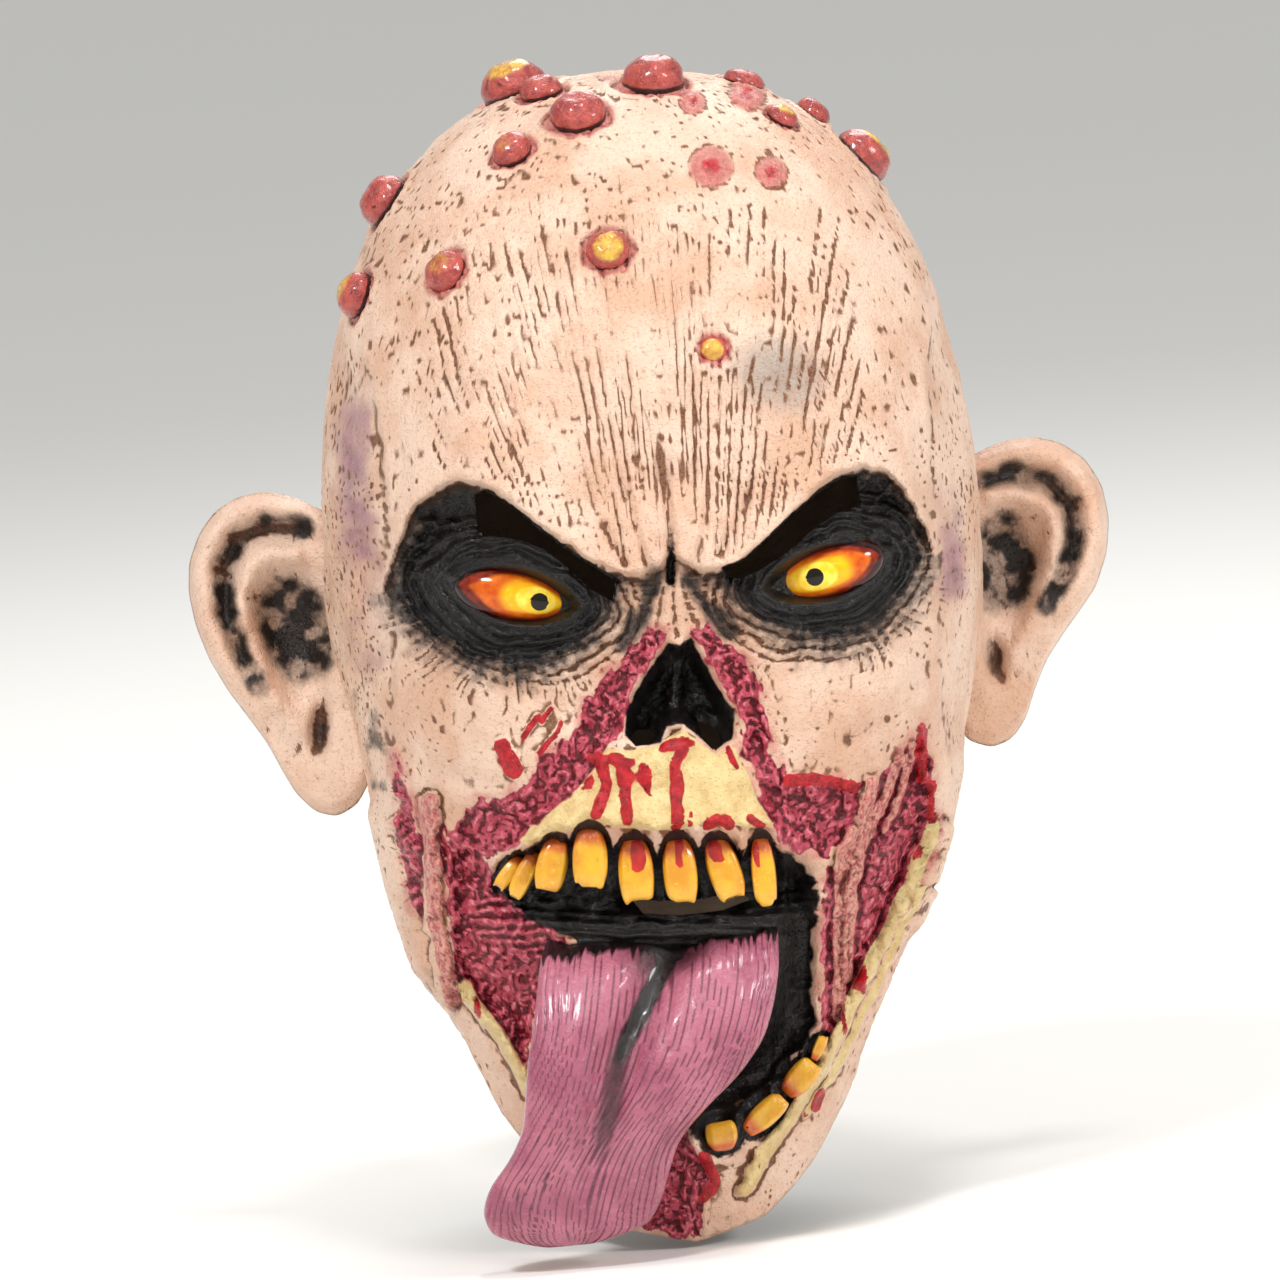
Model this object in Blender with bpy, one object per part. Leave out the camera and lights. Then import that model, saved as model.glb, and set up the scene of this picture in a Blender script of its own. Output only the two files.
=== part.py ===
"""Over-the-head zombie mask: a hollow latex skin with ears and boils, two eyes, twelve teeth and a tongue.

Metres, +Z up, the face looks along -Y. The origin is the inside of the crown, where the mask sits on a head.
"Across" is +X as a share of head_width / 2, "down" is the drop below the outside of the crown as a share of
face_height, and a rise, spread or radius is a share of head_width unless its column says otherwise.
"""

import math

import bmesh
import bpy
import numpy as np

# Named sizes.
head_width = 0.214  # outside, temple to temple
head_depth = 0.236  # brow to the back of the skull
face_height = 0.369  # outside of the crown to the chin
ear_height = 0.105
wall = 0.0022  # latex thickness
gap = 0.0003  # between a seated piece and the skin
columns = 112  # round the head
floor_down = 0.770  # down, where the closed form of the head ends before it is hollowed
lining_floor_down = 0.900  # the same for the lining
lining_below = 0.075  # how far the lining runs past the hem, down
dome_rows, lower_rows = 26, 72
skin_share = 0.225  # share of the outer skin's triangles that the decimation keeps
lining_share = 0.085

# Level cuts through the head: down, half width and shift / (head_width / 2), front and back / head_depth.
sections = [
    # down, half_width, front, back, shift
    (0.000, 0.000, 0.000, 0.000, 0.000),
    (0.024, 0.439, 0.186, 0.195, 0.000),
    (0.054, 0.584, 0.258, 0.271, 0.000),
    (0.089, 0.696, 0.322, 0.339, 0.000),
    (0.122, 0.785, 0.369, 0.386, 0.000),
    (0.190, 0.888, 0.436, 0.449, 0.000),
    (0.271, 0.958, 0.475, 0.492, 0.000),
    (0.339, 0.995, 0.487, 0.513, 0.000),
    (0.412, 1.000, 0.487, 0.513, 0.000),
    (0.493, 0.972, 0.479, 0.483, 0.000),
    (0.575, 0.935, 0.479, 0.415, 0.000),
    (0.637, 0.897, 0.487, 0.356, -0.019),
    (0.718, 0.832, 0.475, 0.326, -0.047),
    (0.786, 0.738, 0.449, 0.322, -0.075),
    (0.829, 0.654, 0.432, 0.331, -0.093),
    (0.886, 0.617, 0.415, 0.339, -0.093),
    (0.946, 0.542, 0.394, 0.347, -0.093),
    (1.000, 0.467, 0.373, 0.356, -0.084),
]
dome_end = 0.325  # down, where the rows stop closing in on the crown
front_square, back_square = 2.3, 2.05  # how square a level cut is: 2 is an ellipse

# The open lower edge: turn from the face (degrees, the same both sides), down.
hem = [
    (0, 1.000),
    (15, 0.984),
    (29, 0.946),
    (46, 0.886),
    (54, 0.829),
    (62, 0.802),
    (75, 0.786),
    (90, 0.780),
    (130, 0.791),
    (180, 0.808),
]

# Folds and grooves: rise (below 0 is a groove), spread, then the line as (across, down) pairs.
folds = [
    ("brow_left", 0.036, 0.045, [
        (-0.81, 0.40), (-0.76, 0.36), (-0.65, 0.33), (-0.52, 0.326), (-0.38, 0.352),
        (-0.21, 0.392), (-0.08, 0.412),
    ]),
    ("brow_right", 0.036, 0.045, [
        (0.01, 0.412), (0.18, 0.393), (0.33, 0.366), (0.47, 0.338), (0.61, 0.335), (0.72, 0.36),
        (0.78, 0.40),
    ]),
    ("glabella_groove", -0.020, 0.014, [(-0.03, 0.36), (-0.02, 0.41), (-0.03, 0.44)]),
    ("nose_rim", 0.026, 0.020, [
        (-0.23, 0.553), (-0.18, 0.499), (-0.02, 0.462), (0.09, 0.493), (0.165, 0.543),
    ]),
    ("upper_gum", 0.026, 0.028, [
        (-0.56, 0.645), (-0.43, 0.632), (-0.19, 0.625), (0.05, 0.63), (0.21, 0.64),
    ]),
    ("tooth_hollow", -0.036, 0.028, [(-0.56, 0.69), (-0.33, 0.683), (-0.06, 0.688), (0.22, 0.694)]),
    ("lower_lip", 0.020, 0.022, [(-0.54, 0.722), (-0.33, 0.735), (-0.05, 0.74), (0.22, 0.728)]),
    ("jaw_gum", 0.036, 0.024, [(-0.06, 0.92), (0.10, 0.905), (0.25, 0.872), (0.34, 0.834)]),
    ("jaw_hollow", -0.050, 0.036, [(0.02, 0.86), (0.22, 0.81), (0.29, 0.75)]),
    ("temple_left", -0.022, 0.022, [(-0.87, 0.21), (-0.88, 0.34), (-0.88, 0.48), (-0.87, 0.59)]),
    ("temple_right", -0.018, 0.020, [(0.80, 0.21), (0.84, 0.34), (0.86, 0.48), (0.84, 0.57)]),
    ("flap_left", 0.020, 0.026, [(-0.92, 0.62), (-0.88, 0.71), (-0.80, 0.77)]),
    ("flap_right", 0.018, 0.024, [(0.80, 0.60), (0.76, 0.69), (0.68, 0.75)]),
    ("strand_left", 0.022, 0.015, [(-0.77, 0.60), (-0.77, 0.70), (-0.74, 0.78)]),
    ("strand_right", 0.026, 0.018, [(0.68, 0.708), (0.55, 0.778), (0.40, 0.85), (0.27, 0.89)]),
    ("strand_inner", 0.016, 0.014, [(0.50, 0.64), (0.42, 0.72), (0.36, 0.80)]),
    ("jaw_bone_left", 0.018, 0.016, [(-0.69, 0.782), (-0.615, 0.83), (-0.545, 0.878)]),
]

# Round swellings and hollows: across, down, radius across, radius down, rise, lean in degrees.
lumps = [
    ("socket_left", -0.49, 0.418, 0.160, 0.090, -0.050, -14),
    ("socket_right", 0.41, 0.419, 0.150, 0.090, -0.050, 14),
    ("lid_left", -0.477, 0.430, 0.115, 0.066, 0.052, -14),
    ("lid_right", 0.425, 0.430, 0.112, 0.066, 0.052, 12),
    ("cheek_left", -0.62, 0.530, 0.150, 0.120, 0.040, 0),
    ("cheek_right", 0.52, 0.526, 0.150, 0.120, 0.040, 0),
    ("nose_pit", -0.022, 0.518, 0.060, 0.095, -0.075, 0),
    ("upper_jaw", -0.10, 0.605, 0.210, 0.090, 0.030, 0),
    ("torn_cheek_left", -0.62, 0.710, 0.062, 0.180, -0.036, 8),
    ("torn_cheek_right", 0.60, 0.690, 0.058, 0.190, -0.036, -14),
    ("mouth_corner", 0.30, 0.740, 0.034, 0.120, -0.036, -4),
    ("chin", -0.04, 0.960, 0.130, 0.090, 0.022, 0),
    ("forehead_left", -0.40, 0.230, 0.200, 0.140, 0.012, 0),
    ("forehead_right", 0.38, 0.230, 0.200, 0.140, 0.012, 0),
]

# Boils: turn from the face in degrees, down, radius, height / radius.
boils = [
    (-84, 0.012, 0.050, 0.95),
    (-50, 0.012, 0.032, 0.80),
    (20, 0.010, 0.046, 0.85),
    (-19, 0.031, 0.042, 0.75),
    (-36, 0.056, 0.030, 0.80),
    (-84, 0.098, 0.041, 0.95),
    (-71, 0.173, 0.036, 0.85),
    (-41, 0.152, 0.032, 0.80),
    (-8, 0.142, 0.032, 0.75),
    (9, 0.231, 0.022, 0.70),
    (74, 0.019, 0.032, 0.60),
    (53, 0.048, 0.024, 0.70),
    (84, 0.052, 0.028, 0.80),
    (84, 0.093, 0.046, 0.85),
]

# Ear outline: turn from straight out (degrees, up is 90), reach / ear_height from the ear's middle.
ear_outline = [
    (-112, 0.56),
    (-90, 0.51),
    (-72, 0.44),
    (-50, 0.35),
    (-25, 0.29),
    (0, 0.28),
    (25, 0.33),
    (45, 0.40),
    (65, 0.46),
    (90, 0.46),
    (120, 0.42),
    (150, 0.30),
    (180, 0.25),
    (215, 0.30),
    (235, 0.46),
]
ear_middle_out, ear_middle_down = 0.125, 0.487  # out from the head's side / ear_height, and down
ear_sweep = 0.42  # how far the ear runs back for each unit that it runs out

# Openings cut through the face: corners as (across, down).
holes = {
    "eye_slit_left": [
        (-0.568, 0.345), (-0.513, 0.338), (-0.45, 0.35), (-0.376, 0.374), (-0.303, 0.395),
        (-0.191, 0.414), (-0.20, 0.424), (-0.32, 0.408), (-0.395, 0.388), (-0.468, 0.379),
        (-0.577, 0.364),
    ],
    "eye_slit_right": [
        (0.57, 0.353), (0.498, 0.357), (0.373, 0.383), (0.278, 0.405), (0.15, 0.42), (0.17, 0.428),
        (0.30, 0.418), (0.421, 0.397), (0.498, 0.381), (0.565, 0.376),
    ],
    "nostril_left": [
        (-0.178, 0.550), (-0.153, 0.545), (-0.128, 0.550), (-0.128, 0.561), (-0.153, 0.566),
        (-0.178, 0.561),
    ],
    "nostril_right": [
        (0.03, 0.548), (0.053, 0.542), (0.075, 0.548), (0.075, 0.565), (0.053, 0.571),
        (0.03, 0.565),
    ],
    "mouth_gap": [
        (-0.24, 0.690), (-0.10, 0.686), (0.06, 0.688), (0.12, 0.694), (0.09, 0.712),
        (-0.02, 0.713), (-0.14, 0.711), (-0.22, 0.705),
    ],
}

# Teeth: across, down, half width and half height / face_height, stand-off from the gum, lean in degrees.
teeth = [
    ("upper_tooth_1", -0.560, 0.668, 0.0120, 0.0165, 0.004, -34),
    ("upper_tooth_2", -0.500, 0.669, 0.0135, 0.0205, 0.006, -24),
    ("upper_tooth_3", -0.420, 0.662, 0.0200, 0.0225, 0.008, -16),
    ("upper_tooth_4", -0.310, 0.656, 0.0215, 0.0265, 0.009, -6),
    ("upper_tooth_5", -0.191, 0.664, 0.0225, 0.0290, 0.010, 0),
    ("upper_tooth_6", -0.066, 0.670, 0.0210, 0.0275, 0.010, 2),
    ("upper_tooth_7", 0.052, 0.673, 0.0210, 0.0275, 0.010, 12),
    ("upper_tooth_8", 0.175, 0.677, 0.0150, 0.0295, 0.009, 2),
    ("lower_tooth_1", 0.045, 0.902, 0.0190, 0.0125, 0.006, 8),
    ("lower_tooth_2", 0.135, 0.878, 0.0180, 0.0170, 0.006, 26),
    ("lower_tooth_3", 0.255, 0.848, 0.0160, 0.0160, 0.006, 34),
    ("lower_tooth_4", 0.335, 0.812, 0.0110, 0.0120, 0.005, 38),
]

# Eyes: across, down, half length, half height, lean in degrees.
eyes = [
    ("eye_left", -0.477, 0.430, 0.091, 0.043, -14),
    ("eye_right", 0.425, 0.430, 0.089, 0.043, 12),
]

# Tongue, root to tip: across, down, half width, half thickness, stand-off of its middle from the jaw.
tongue_cuts = [
    (-0.140, 0.737, 0.154, 0.020, 0.004),
    (-0.150, 0.756, 0.172, 0.034, 0.016),
    (-0.164, 0.786, 0.177, 0.041, 0.034),
    (-0.196, 0.824, 0.164, 0.043, 0.050),
    (-0.271, 0.862, 0.126, 0.044, 0.062),
    (-0.364, 0.902, 0.114, 0.043, 0.078),
    (-0.430, 0.940, 0.121, 0.042, 0.105),
    (-0.453, 0.967, 0.119, 0.038, 0.130),
    (-0.449, 0.986, 0.090, 0.026, 0.150),
]
tongue_groove = 0.34  # depth of the middle groove / half thickness

half_width = head_width / 2


def material(name, colour, roughness):
    found = bpy.data.materials.get(name) or bpy.data.materials.new(name)
    found.use_nodes = True
    shader = found.node_tree.nodes["Principled BSDF"]
    shader.inputs["Base Color"].default_value = (*colour, 1.0)
    shader.inputs["Roughness"].default_value = roughness
    return found


def section_at(down):
    """Half width, front, back and shift in metres. Working along the root of the drop closes the crown round."""
    at = np.sqrt(np.clip(down, 0, None))
    scale = (half_width, head_depth, head_depth, half_width)
    return [np.interp(at, eased[:, 0], eased[:, i + 1]) * scale[i] for i in range(4)]


def ease_sections():
    """The sections at 90 even steps of the root of the drop, with the corners between rows rounded off."""
    table = np.array(sections)
    at = np.linspace(0, 1.1, 90)
    fine = np.stack([np.interp(at, np.sqrt(table[:, 0]), table[:, i]) for i in range(1, 5)], axis=-1)
    for _ in range(14):
        fine[1:-1] = (fine[:-2] + 2 * fine[1:-1] + fine[2:]) / 4
    return np.column_stack([at, fine])


eased = ease_sections()


def base_point(turn, down):
    """A point of the smooth head, before any fold, for a turn in radians from the face."""
    wide, front, back, shift = section_at(down)
    facing = np.cos(turn) > 0
    deep = np.where(facing, front, back)
    square = np.where(facing, front_square, back_square)
    side = np.abs(np.sin(turn)) / np.maximum(wide, 1e-6)
    ahead = np.abs(np.cos(turn)) / np.maximum(deep, 1e-6)
    reach = (side**square + ahead**square) ** (-1 / square)
    reach = np.where(wide < 1e-5, 0, reach)
    return np.stack([shift + reach * np.sin(turn), -reach * np.cos(turn), wall - down * face_height], axis=-1)


def line_distance(across, drop, line):
    """Distance in metres from each point to a line of (across, down) pairs, seen from the front."""
    points = np.array(line) * (half_width, face_height)
    nearest = np.full(across.shape, 1e9)
    for (ax, ay), (bx, by) in zip(points[:-1], points[1:]):
        length = (bx - ax) ** 2 + (by - ay) ** 2
        along = np.clip(((across - ax) * (bx - ax) + (drop - ay) * (by - ay)) / length, 0, 1)
        nearest = np.minimum(nearest, np.hypot(across - ax - along * (bx - ax), drop - ay - along * (by - ay)))
    return nearest


def relief(points):
    """How far the folds, sockets and hollows lift the skin at each point of the smooth head."""
    across, drop = points[..., 0], wall - points[..., 2]
    lift = np.zeros(across.shape)
    for _, middle_x, middle_d, radius_x, radius_d, rise, lean in lumps:
        x, d = across - middle_x * half_width, drop - middle_d * face_height
        c, s = math.cos(math.radians(lean)), math.sin(math.radians(lean))
        share = ((x * c - d * s) / (radius_x * head_width)) ** 2
        share += ((x * s + d * c) / (radius_d * head_width)) ** 2
        lift += rise * head_width * np.exp(-(share**1.5))
    for _, rise, spread, line in folds:
        lift += rise * head_width * np.exp(-((line_distance(across, drop, line) / (spread * head_width)) ** 2))
    facing = np.clip((-points[..., 1] + 0.004) / 0.030, 0, 1)
    return lift * facing * facing * (3 - 2 * facing)


def head_grid(below):
    """Turn, down, point and outward normal over the head; below carries the rows past the hem by that share."""
    count = np.arange(columns) / columns * 2 * math.pi
    turn = count - 0.52 * np.sin(count)
    aside = np.abs(np.degrees((turn + math.pi) % (2 * math.pi) - math.pi))
    edge = np.interp(aside, *np.array(hem).T) + below
    ease = np.arange(1, dome_rows + 1) / dome_rows * math.pi / 2
    dome = np.repeat(dome_end * (1 - np.cos(ease))[:, None], columns, axis=1)
    step = (np.arange(1, lower_rows + 1) / lower_rows)[:, None]
    down = np.vstack([dome, dome_end + (edge - dome_end) * step])
    turn = np.repeat(turn[None], len(down), axis=0)
    point = base_point(turn, down)
    tiny = 1e-3
    along = base_point(turn + tiny, down) - base_point(turn - tiny, down)
    below_it = base_point(turn, down + tiny) - base_point(turn, np.maximum(down - tiny, 1e-6))
    normal = np.cross(below_it, along)
    normal /= np.linalg.norm(normal, axis=-1, keepdims=True)
    return turn, down, point, normal


def lowest_nearby(lift, rows, sides):
    """Each value replaced by the lowest within so many rows and columns, then softened, never above the first."""
    found = lift.copy()
    for step in range(-sides, sides + 1):
        found = np.minimum(found, np.roll(lift, step, axis=1))
    low = found.copy()
    for step in range(1, rows + 1):
        low[step:] = np.minimum(low[step:], found[:-step])
        low[:-step] = np.minimum(low[:-step], found[step:])
    soft = (np.roll(low, 1, 1) + np.roll(low, -1, 1) + low) / 3
    return np.minimum(low + wall * 0.3, soft)


def closed_head(lift, point, normal, floor_down):
    """Vertices and faces of the head closed at the crown and across the hem."""
    rows = len(point)
    rings = (point + normal * lift[..., None]).reshape(-1, 3)
    crown = [0.0, 0.0, wall + float(lift[0].mean())]
    floor = [0.0, 0.0, wall - floor_down * face_height]
    faces = []
    for r in range(rows - 1):
        for c in range(columns):
            a, b = r * columns + c, r * columns + (c + 1) % columns
            faces.append((a, b, b + columns, a + columns))
    top, bottom = rows * columns, rows * columns + 1
    last = (rows - 1) * columns
    for c in range(columns):
        faces.append((top, (c + 1) % columns, c))
        faces.append((bottom, last + c, last + (c + 1) % columns))
    return np.vstack([rings, crown, floor]), faces


def facing_out(verts, faces):
    """The same faces, turned over if together they point inwards."""
    total = 0.0
    for face in faces:
        a = verts[face[0]]
        for j in range(1, len(face) - 1):
            total += float(np.dot(a, np.cross(verts[face[j]], verts[face[j + 1]])))
    return faces if total > 0 else [tuple(reversed(face)) for face in faces]


def new_object(name, verts, faces, surface=None, helper=False):
    verts = np.asarray(verts, float)
    mesh = bpy.data.meshes.new(name)
    mesh.from_pydata([tuple(v) for v in verts], [], facing_out(verts, faces))
    mesh.validate()
    made = bpy.data.objects.new(name, mesh)
    home = helpers if helper else bpy.context.scene.collection
    home.objects.link(made)
    if helper:
        made.hide_render = True
        made.display_type = "WIRE"
    if surface:
        mesh.materials.append(surface)
    return made


def boolean(target, operand, operation):
    step = target.modifiers.new(f"{operation.lower()}_{operand.name}", "BOOLEAN")
    step.operation = operation
    step.solver = "EXACT"
    step.object = operand
    return step


def settle(target, largest=False):
    """Replaces the object's mesh by the result of its modifiers, and can keep only its largest closed part."""
    bpy.context.view_layer.update()
    graph = bpy.context.evaluated_depsgraph_get()
    mesh = bpy.data.meshes.new_from_object(target.evaluated_get(graph))
    target.modifiers.clear()
    old, target.data = target.data, mesh
    bpy.data.meshes.remove(old)
    mesh.name = target.name
    if largest:
        shape = bmesh.new()
        shape.from_mesh(mesh)
        left, parts = set(shape.verts), []
        while left:
            stack, part = [left.pop()], []
            while stack:
                vert = stack.pop()
                part.append(vert)
                for edge in vert.link_edges:
                    other = edge.other_vert(vert)
                    if other in left:
                        left.remove(other)
                        stack.append(other)
            parts.append(part)
        parts.sort(key=len)
        for part in parts[:-1]:
            bmesh.ops.delete(shape, geom=part, context="VERTS")
        shape.to_mesh(mesh)
        shape.free()
    return target


def ring_faces(count, around):
    """Quads between rings of so many points, with a fan at each end round the last two vertices."""
    faces = []
    for r in range(count - 1):
        for c in range(around):
            a, b = r * around + c, r * around + (c + 1) % around
            faces.append((a, b, b + around, a + around))
    first, last = count * around, count * around + 1
    for c in range(around):
        faces.append((first, (c + 1) % around, c))
        faces.append((last, (count - 1) * around + c, (count - 1) * around + (c + 1) % around))
    return faces


def dome_shape(middle, normal, radius, height, around=14, rings=5):
    """A closed ball flattened along the normal, for a boil."""
    normal = normal / np.linalg.norm(normal)
    side = np.cross(normal, (0.0, 0.0, 1.0) if abs(normal[2]) < 0.8 else (1.0, 0.0, 0.0))
    side /= np.linalg.norm(side)
    other = np.cross(normal, side)
    verts = []
    for r in range(1, rings + 1):
        tilt = math.pi * r / (rings + 1)
        for c in range(around):
            turn = 2 * math.pi * c / around
            out = side * math.cos(turn) + other * math.sin(turn)
            verts.append(middle + radius * math.sin(tilt) * out + height * math.cos(tilt) * normal)
    verts += [middle + height * normal, middle - height * normal]
    return np.array(verts), ring_faces(rings, around)


def ear_shape(side):
    """A closed ear: a dished front with rim, inner fold and bowl, and a rounded back that enters the head."""
    around, rings = 40, 9
    turns = np.radians(np.arange(around) * 360 / around - 112)
    table = np.array(ear_outline + [(248, ear_outline[0][1])])
    reach = np.interp(np.degrees(turns), table[:, 0], table[:, 1]) * ear_height
    wide = section_at(np.array(ear_middle_down))[0]
    unit = ear_height / 0.105
    front, back = [], []
    for r in range(rings + 1):
        share = r / rings
        out = share * reach * np.cos(turns)
        up = share * reach * np.sin(turns)
        x, y = out / unit, up / unit
        rim = 0.0052 * np.exp(-(((share - 0.88) / 0.12) ** 2)) * np.clip((np.degrees(turns) + 75) / 40, 0, 1)
        rim = rim * np.clip((160 - np.degrees(turns)) / 30, 0, 1)
        bowl = -0.0095 * np.exp(-((np.hypot(x - 0.001, (y - 0.008) * 0.75) / 0.0135) ** 3))
        notch = -0.0045 * np.exp(-((np.hypot(x + 0.005, y + 0.030) / 0.007) ** 2))
        fold = 0.0045 * np.exp(-(((np.hypot(x + 0.001, (y - 0.006) * 0.80) - 0.0185) / 0.0042) ** 2))
        fold = fold * np.clip((x + 0.006) / 0.010, 0, 1)
        height = (rim + bowl + notch + fold) * (1 if share < 0.999 else 0.35)
        thick = 0.0052 + 0.0080 * np.exp(-((np.hypot(x, y - 0.006) / 0.020) ** 2)) - 0.0018 * share**4
        middle = (ear_middle_out * ear_height + out, ear_sweep * (ear_middle_out * ear_height + out))
        drop = wall - ear_middle_down * face_height + up
        for store, lift in ((front, height * unit), (back, -thick * unit)):
            store.append(np.stack([side * (wide + middle[0]), 0.010 + middle[1] - lift, drop], axis=-1))
    rows = [front[0].mean(axis=0)[None]]
    verts = np.vstack([*front[1:], *reversed(back[1:]), rows[0], back[0].mean(axis=0)[None]])
    count = 2 * rings
    return verts, ring_faces(count, around)


def on_skin(across, down):
    """The point of the outer skin seen from the front at (across, down), and its outward normal."""
    x, z = across * half_width, wall - down * face_height
    away = np.hypot(skin_points[..., 0] - x, skin_points[..., 2] - z) + (skin_points[..., 1] > -0.02) * 1.0
    at = np.unravel_index(np.argmin(away), away.shape)
    return np.array([x, skin_points[at][1], z]), head_normal[at]


def prism(name, corners):
    """A closed bar along Y with these corners, long enough to pass the front wall only."""
    count = len(corners)
    points = np.array(corners) * (half_width, -face_height) + (0, wall)
    verts = [(x, y, z) for y in (-0.75 * head_depth, -0.27 * head_depth) for x, z in points]
    faces = [tuple(range(count)), tuple(reversed(range(count, 2 * count)))]
    faces += [(a, a + count, (a + 1) % count + count, (a + 1) % count) for a in range(count)]
    return new_object(name, verts, faces, helper=True)


def tooth_shape(row):
    """A flattened peg, wider at its biting end, standing on the gum."""
    _, across, down, half_w, half_h, off, lean = row
    middle, _ = on_skin(across, down)
    gum = on_skin(across, down - 0.020 if down < 0.8 else down + 0.020)[0]
    lower = down > 0.8
    y = min(middle[1], gum[1]) - off * head_width
    wide, tall, deep = half_w * face_height * 0.66, half_h * face_height, 0.0155 * head_width
    c, s = math.cos(math.radians(lean)), math.sin(math.radians(lean))
    verts, around, rings = [], 12, 5
    for r in range(rings):
        at = -1 + 2 * (r + 0.5) / rings
        end = (1 - abs(at) ** 3) ** 0.5
        swell = 1.0 + 0.12 * (at if lower else -at)
        for k in range(around):
            turn = 2 * math.pi * k / around
            u = math.copysign(abs(math.cos(turn)) ** 0.75, math.cos(turn)) * wide * swell * (0.55 + 0.45 * end)
            v = math.sin(turn) * deep * (0.5 + 0.5 * end)
            w = at * tall
            verts.append((middle[0] + u * c - w * s, y + v, middle[2] + u * s + w * c))
    verts.append((middle[0] + tall * s, y, middle[2] - tall * c))
    verts.append((middle[0] - tall * s, y, middle[2] + tall * c))
    return verts, ring_faces(rings, around)


def tongue_shape():
    """The tongue as level cuts along its bent middle line: two rounded lobes with a groove between them."""
    around, table = 26, np.array(tongue_cuts)
    fine = np.linspace(0, len(table) - 1, 20)
    table = np.stack([np.interp(fine, np.arange(len(table)), table[:, i]) for i in range(5)], axis=-1)
    for _ in range(2):
        table[1:-1] = (table[:-2] + 2 * table[1:-1] + table[2:]) / 4
    verts = []
    centres = []
    for across, down, _, _, off in table:
        point = on_skin(across, min(down, 0.93))[0]
        centres.append((across * half_width, point[1] - off * head_width * 0.55, wall - down * face_height))
    centres = np.array(centres)
    jaw = centres[:, 1].copy()
    for _ in range(4):
        jaw[1:-1] = (jaw[:-2] + 2 * jaw[1:-1] + jaw[2:]) / 4
    centres[:, 1] = jaw
    ahead = np.gradient(centres, axis=0)
    for middle, way, row in zip(centres, ahead, table):
        way = way / np.linalg.norm(way)
        side = np.cross(way, (0.0, 1.0, 0.0))
        side /= np.linalg.norm(side)
        if side[0] < 0:
            side = -side
        out = np.cross(side, way)
        if out[1] > 0:
            out = -out
        wide, thick = row[2] * head_width, row[3] * head_width
        for k in range(around):
            turn = 2 * math.pi * k / around
            s, h = math.cos(turn), math.sin(turn)
            lift = thick * math.copysign(abs(h) ** 0.8, h)
            if h > 0:
                lift -= tongue_groove * thick * math.exp(-(((s - 0.12) / 0.22) ** 2))
            verts.append(middle + side * wide * s + out * lift)
    verts += [centres[0] - ahead[0] * 0.3, centres[-1] + ahead[-1] * 0.5]
    return np.array(verts), ring_faces(len(table), around)


for left in list(bpy.data.objects):
    bpy.data.objects.remove(left, do_unlink=True)
helpers = bpy.data.collections.new("helpers")
bpy.context.scene.collection.children.link(helpers)

latex = material("latex_skin", (0.80, 0.62, 0.50), 0.55)
eye_paint = material("eye_paint", (0.90, 0.62, 0.05), 0.15)
tooth_paint = material("tooth_paint", (0.88, 0.62, 0.12), 0.25)
tongue_paint = material("tongue_paint", (0.68, 0.32, 0.36), 0.35)

# Outer skin: the head with its relief, the ears and the boils, before it is hollowed.
_, _, head_point, head_normal = head_grid(0.0)
head_lift = relief(head_point)
skin_points = head_point + head_normal * head_lift[..., None]
mask_skin = new_object("mask_skin", *closed_head(head_lift, head_point, head_normal, floor_down), latex)
for side, name in ((-1, "ear_left_form"), (1, "ear_right_form")):
    boolean(mask_skin, new_object(name, *ear_shape(side), helper=True), "UNION")
for number, (turn, down, radius, tall) in enumerate(boils):
    turn, down = math.radians(turn), np.array(down)
    middle = base_point(turn, down)
    tiny = 1e-3
    slope = base_point(turn, down + tiny) - base_point(turn, down - tiny)
    outward = np.cross(slope, base_point(turn + tiny, down) - base_point(turn - tiny, down))
    outward /= np.linalg.norm(outward)
    size = radius * head_width
    ball = dome_shape(middle + outward * size * 0.12, outward, size, size * tall)
    boolean(mask_skin, new_object(f"boil_form_{number + 1}", *ball, helper=True), "UNION")
settle(mask_skin)
thin = mask_skin.modifiers.new("fewer_triangles", "DECIMATE")
thin.ratio = skin_share
settle(mask_skin)

# The same outside, grown by the gap, trims whatever is seated on the skin.
seat = new_object("seat_form", *closed_head(head_lift, head_point, head_normal, floor_down), helper=True)
old_mesh, seat.data = seat.data, mask_skin.data.copy()
bpy.data.meshes.remove(old_mesh)
for vert, normal in [(v, v.normal.copy()) for v in seat.data.vertices]:
    vert.co += normal * gap * 1.3

# Lining: the inside of the latex, a little below the lowest relief nearby so that the wall stays whole.
_, _, lining_point, lining_normal = head_grid(lining_below)
lining_lift = lowest_nearby(relief(lining_point), 1, 1) - wall
lining_shape = closed_head(lining_lift, lining_point, lining_normal, lining_floor_down)
lining = new_object("lining_form", *lining_shape, helper=True)
thin = lining.modifiers.new("fewer_triangles", "DECIMATE")
thin.ratio = lining_share
settle(lining)
boolean(mask_skin, lining, "DIFFERENCE")
for name, corners in holes.items():
    boolean(mask_skin, prism(f"{name}_cutter", corners), "DIFFERENCE")
settle(mask_skin, largest=True)

for row in teeth:
    tooth = new_object(row[0], *tooth_shape(row), tooth_paint)
    boolean(tooth, seat, "DIFFERENCE")
    settle(tooth, largest=True)

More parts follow.
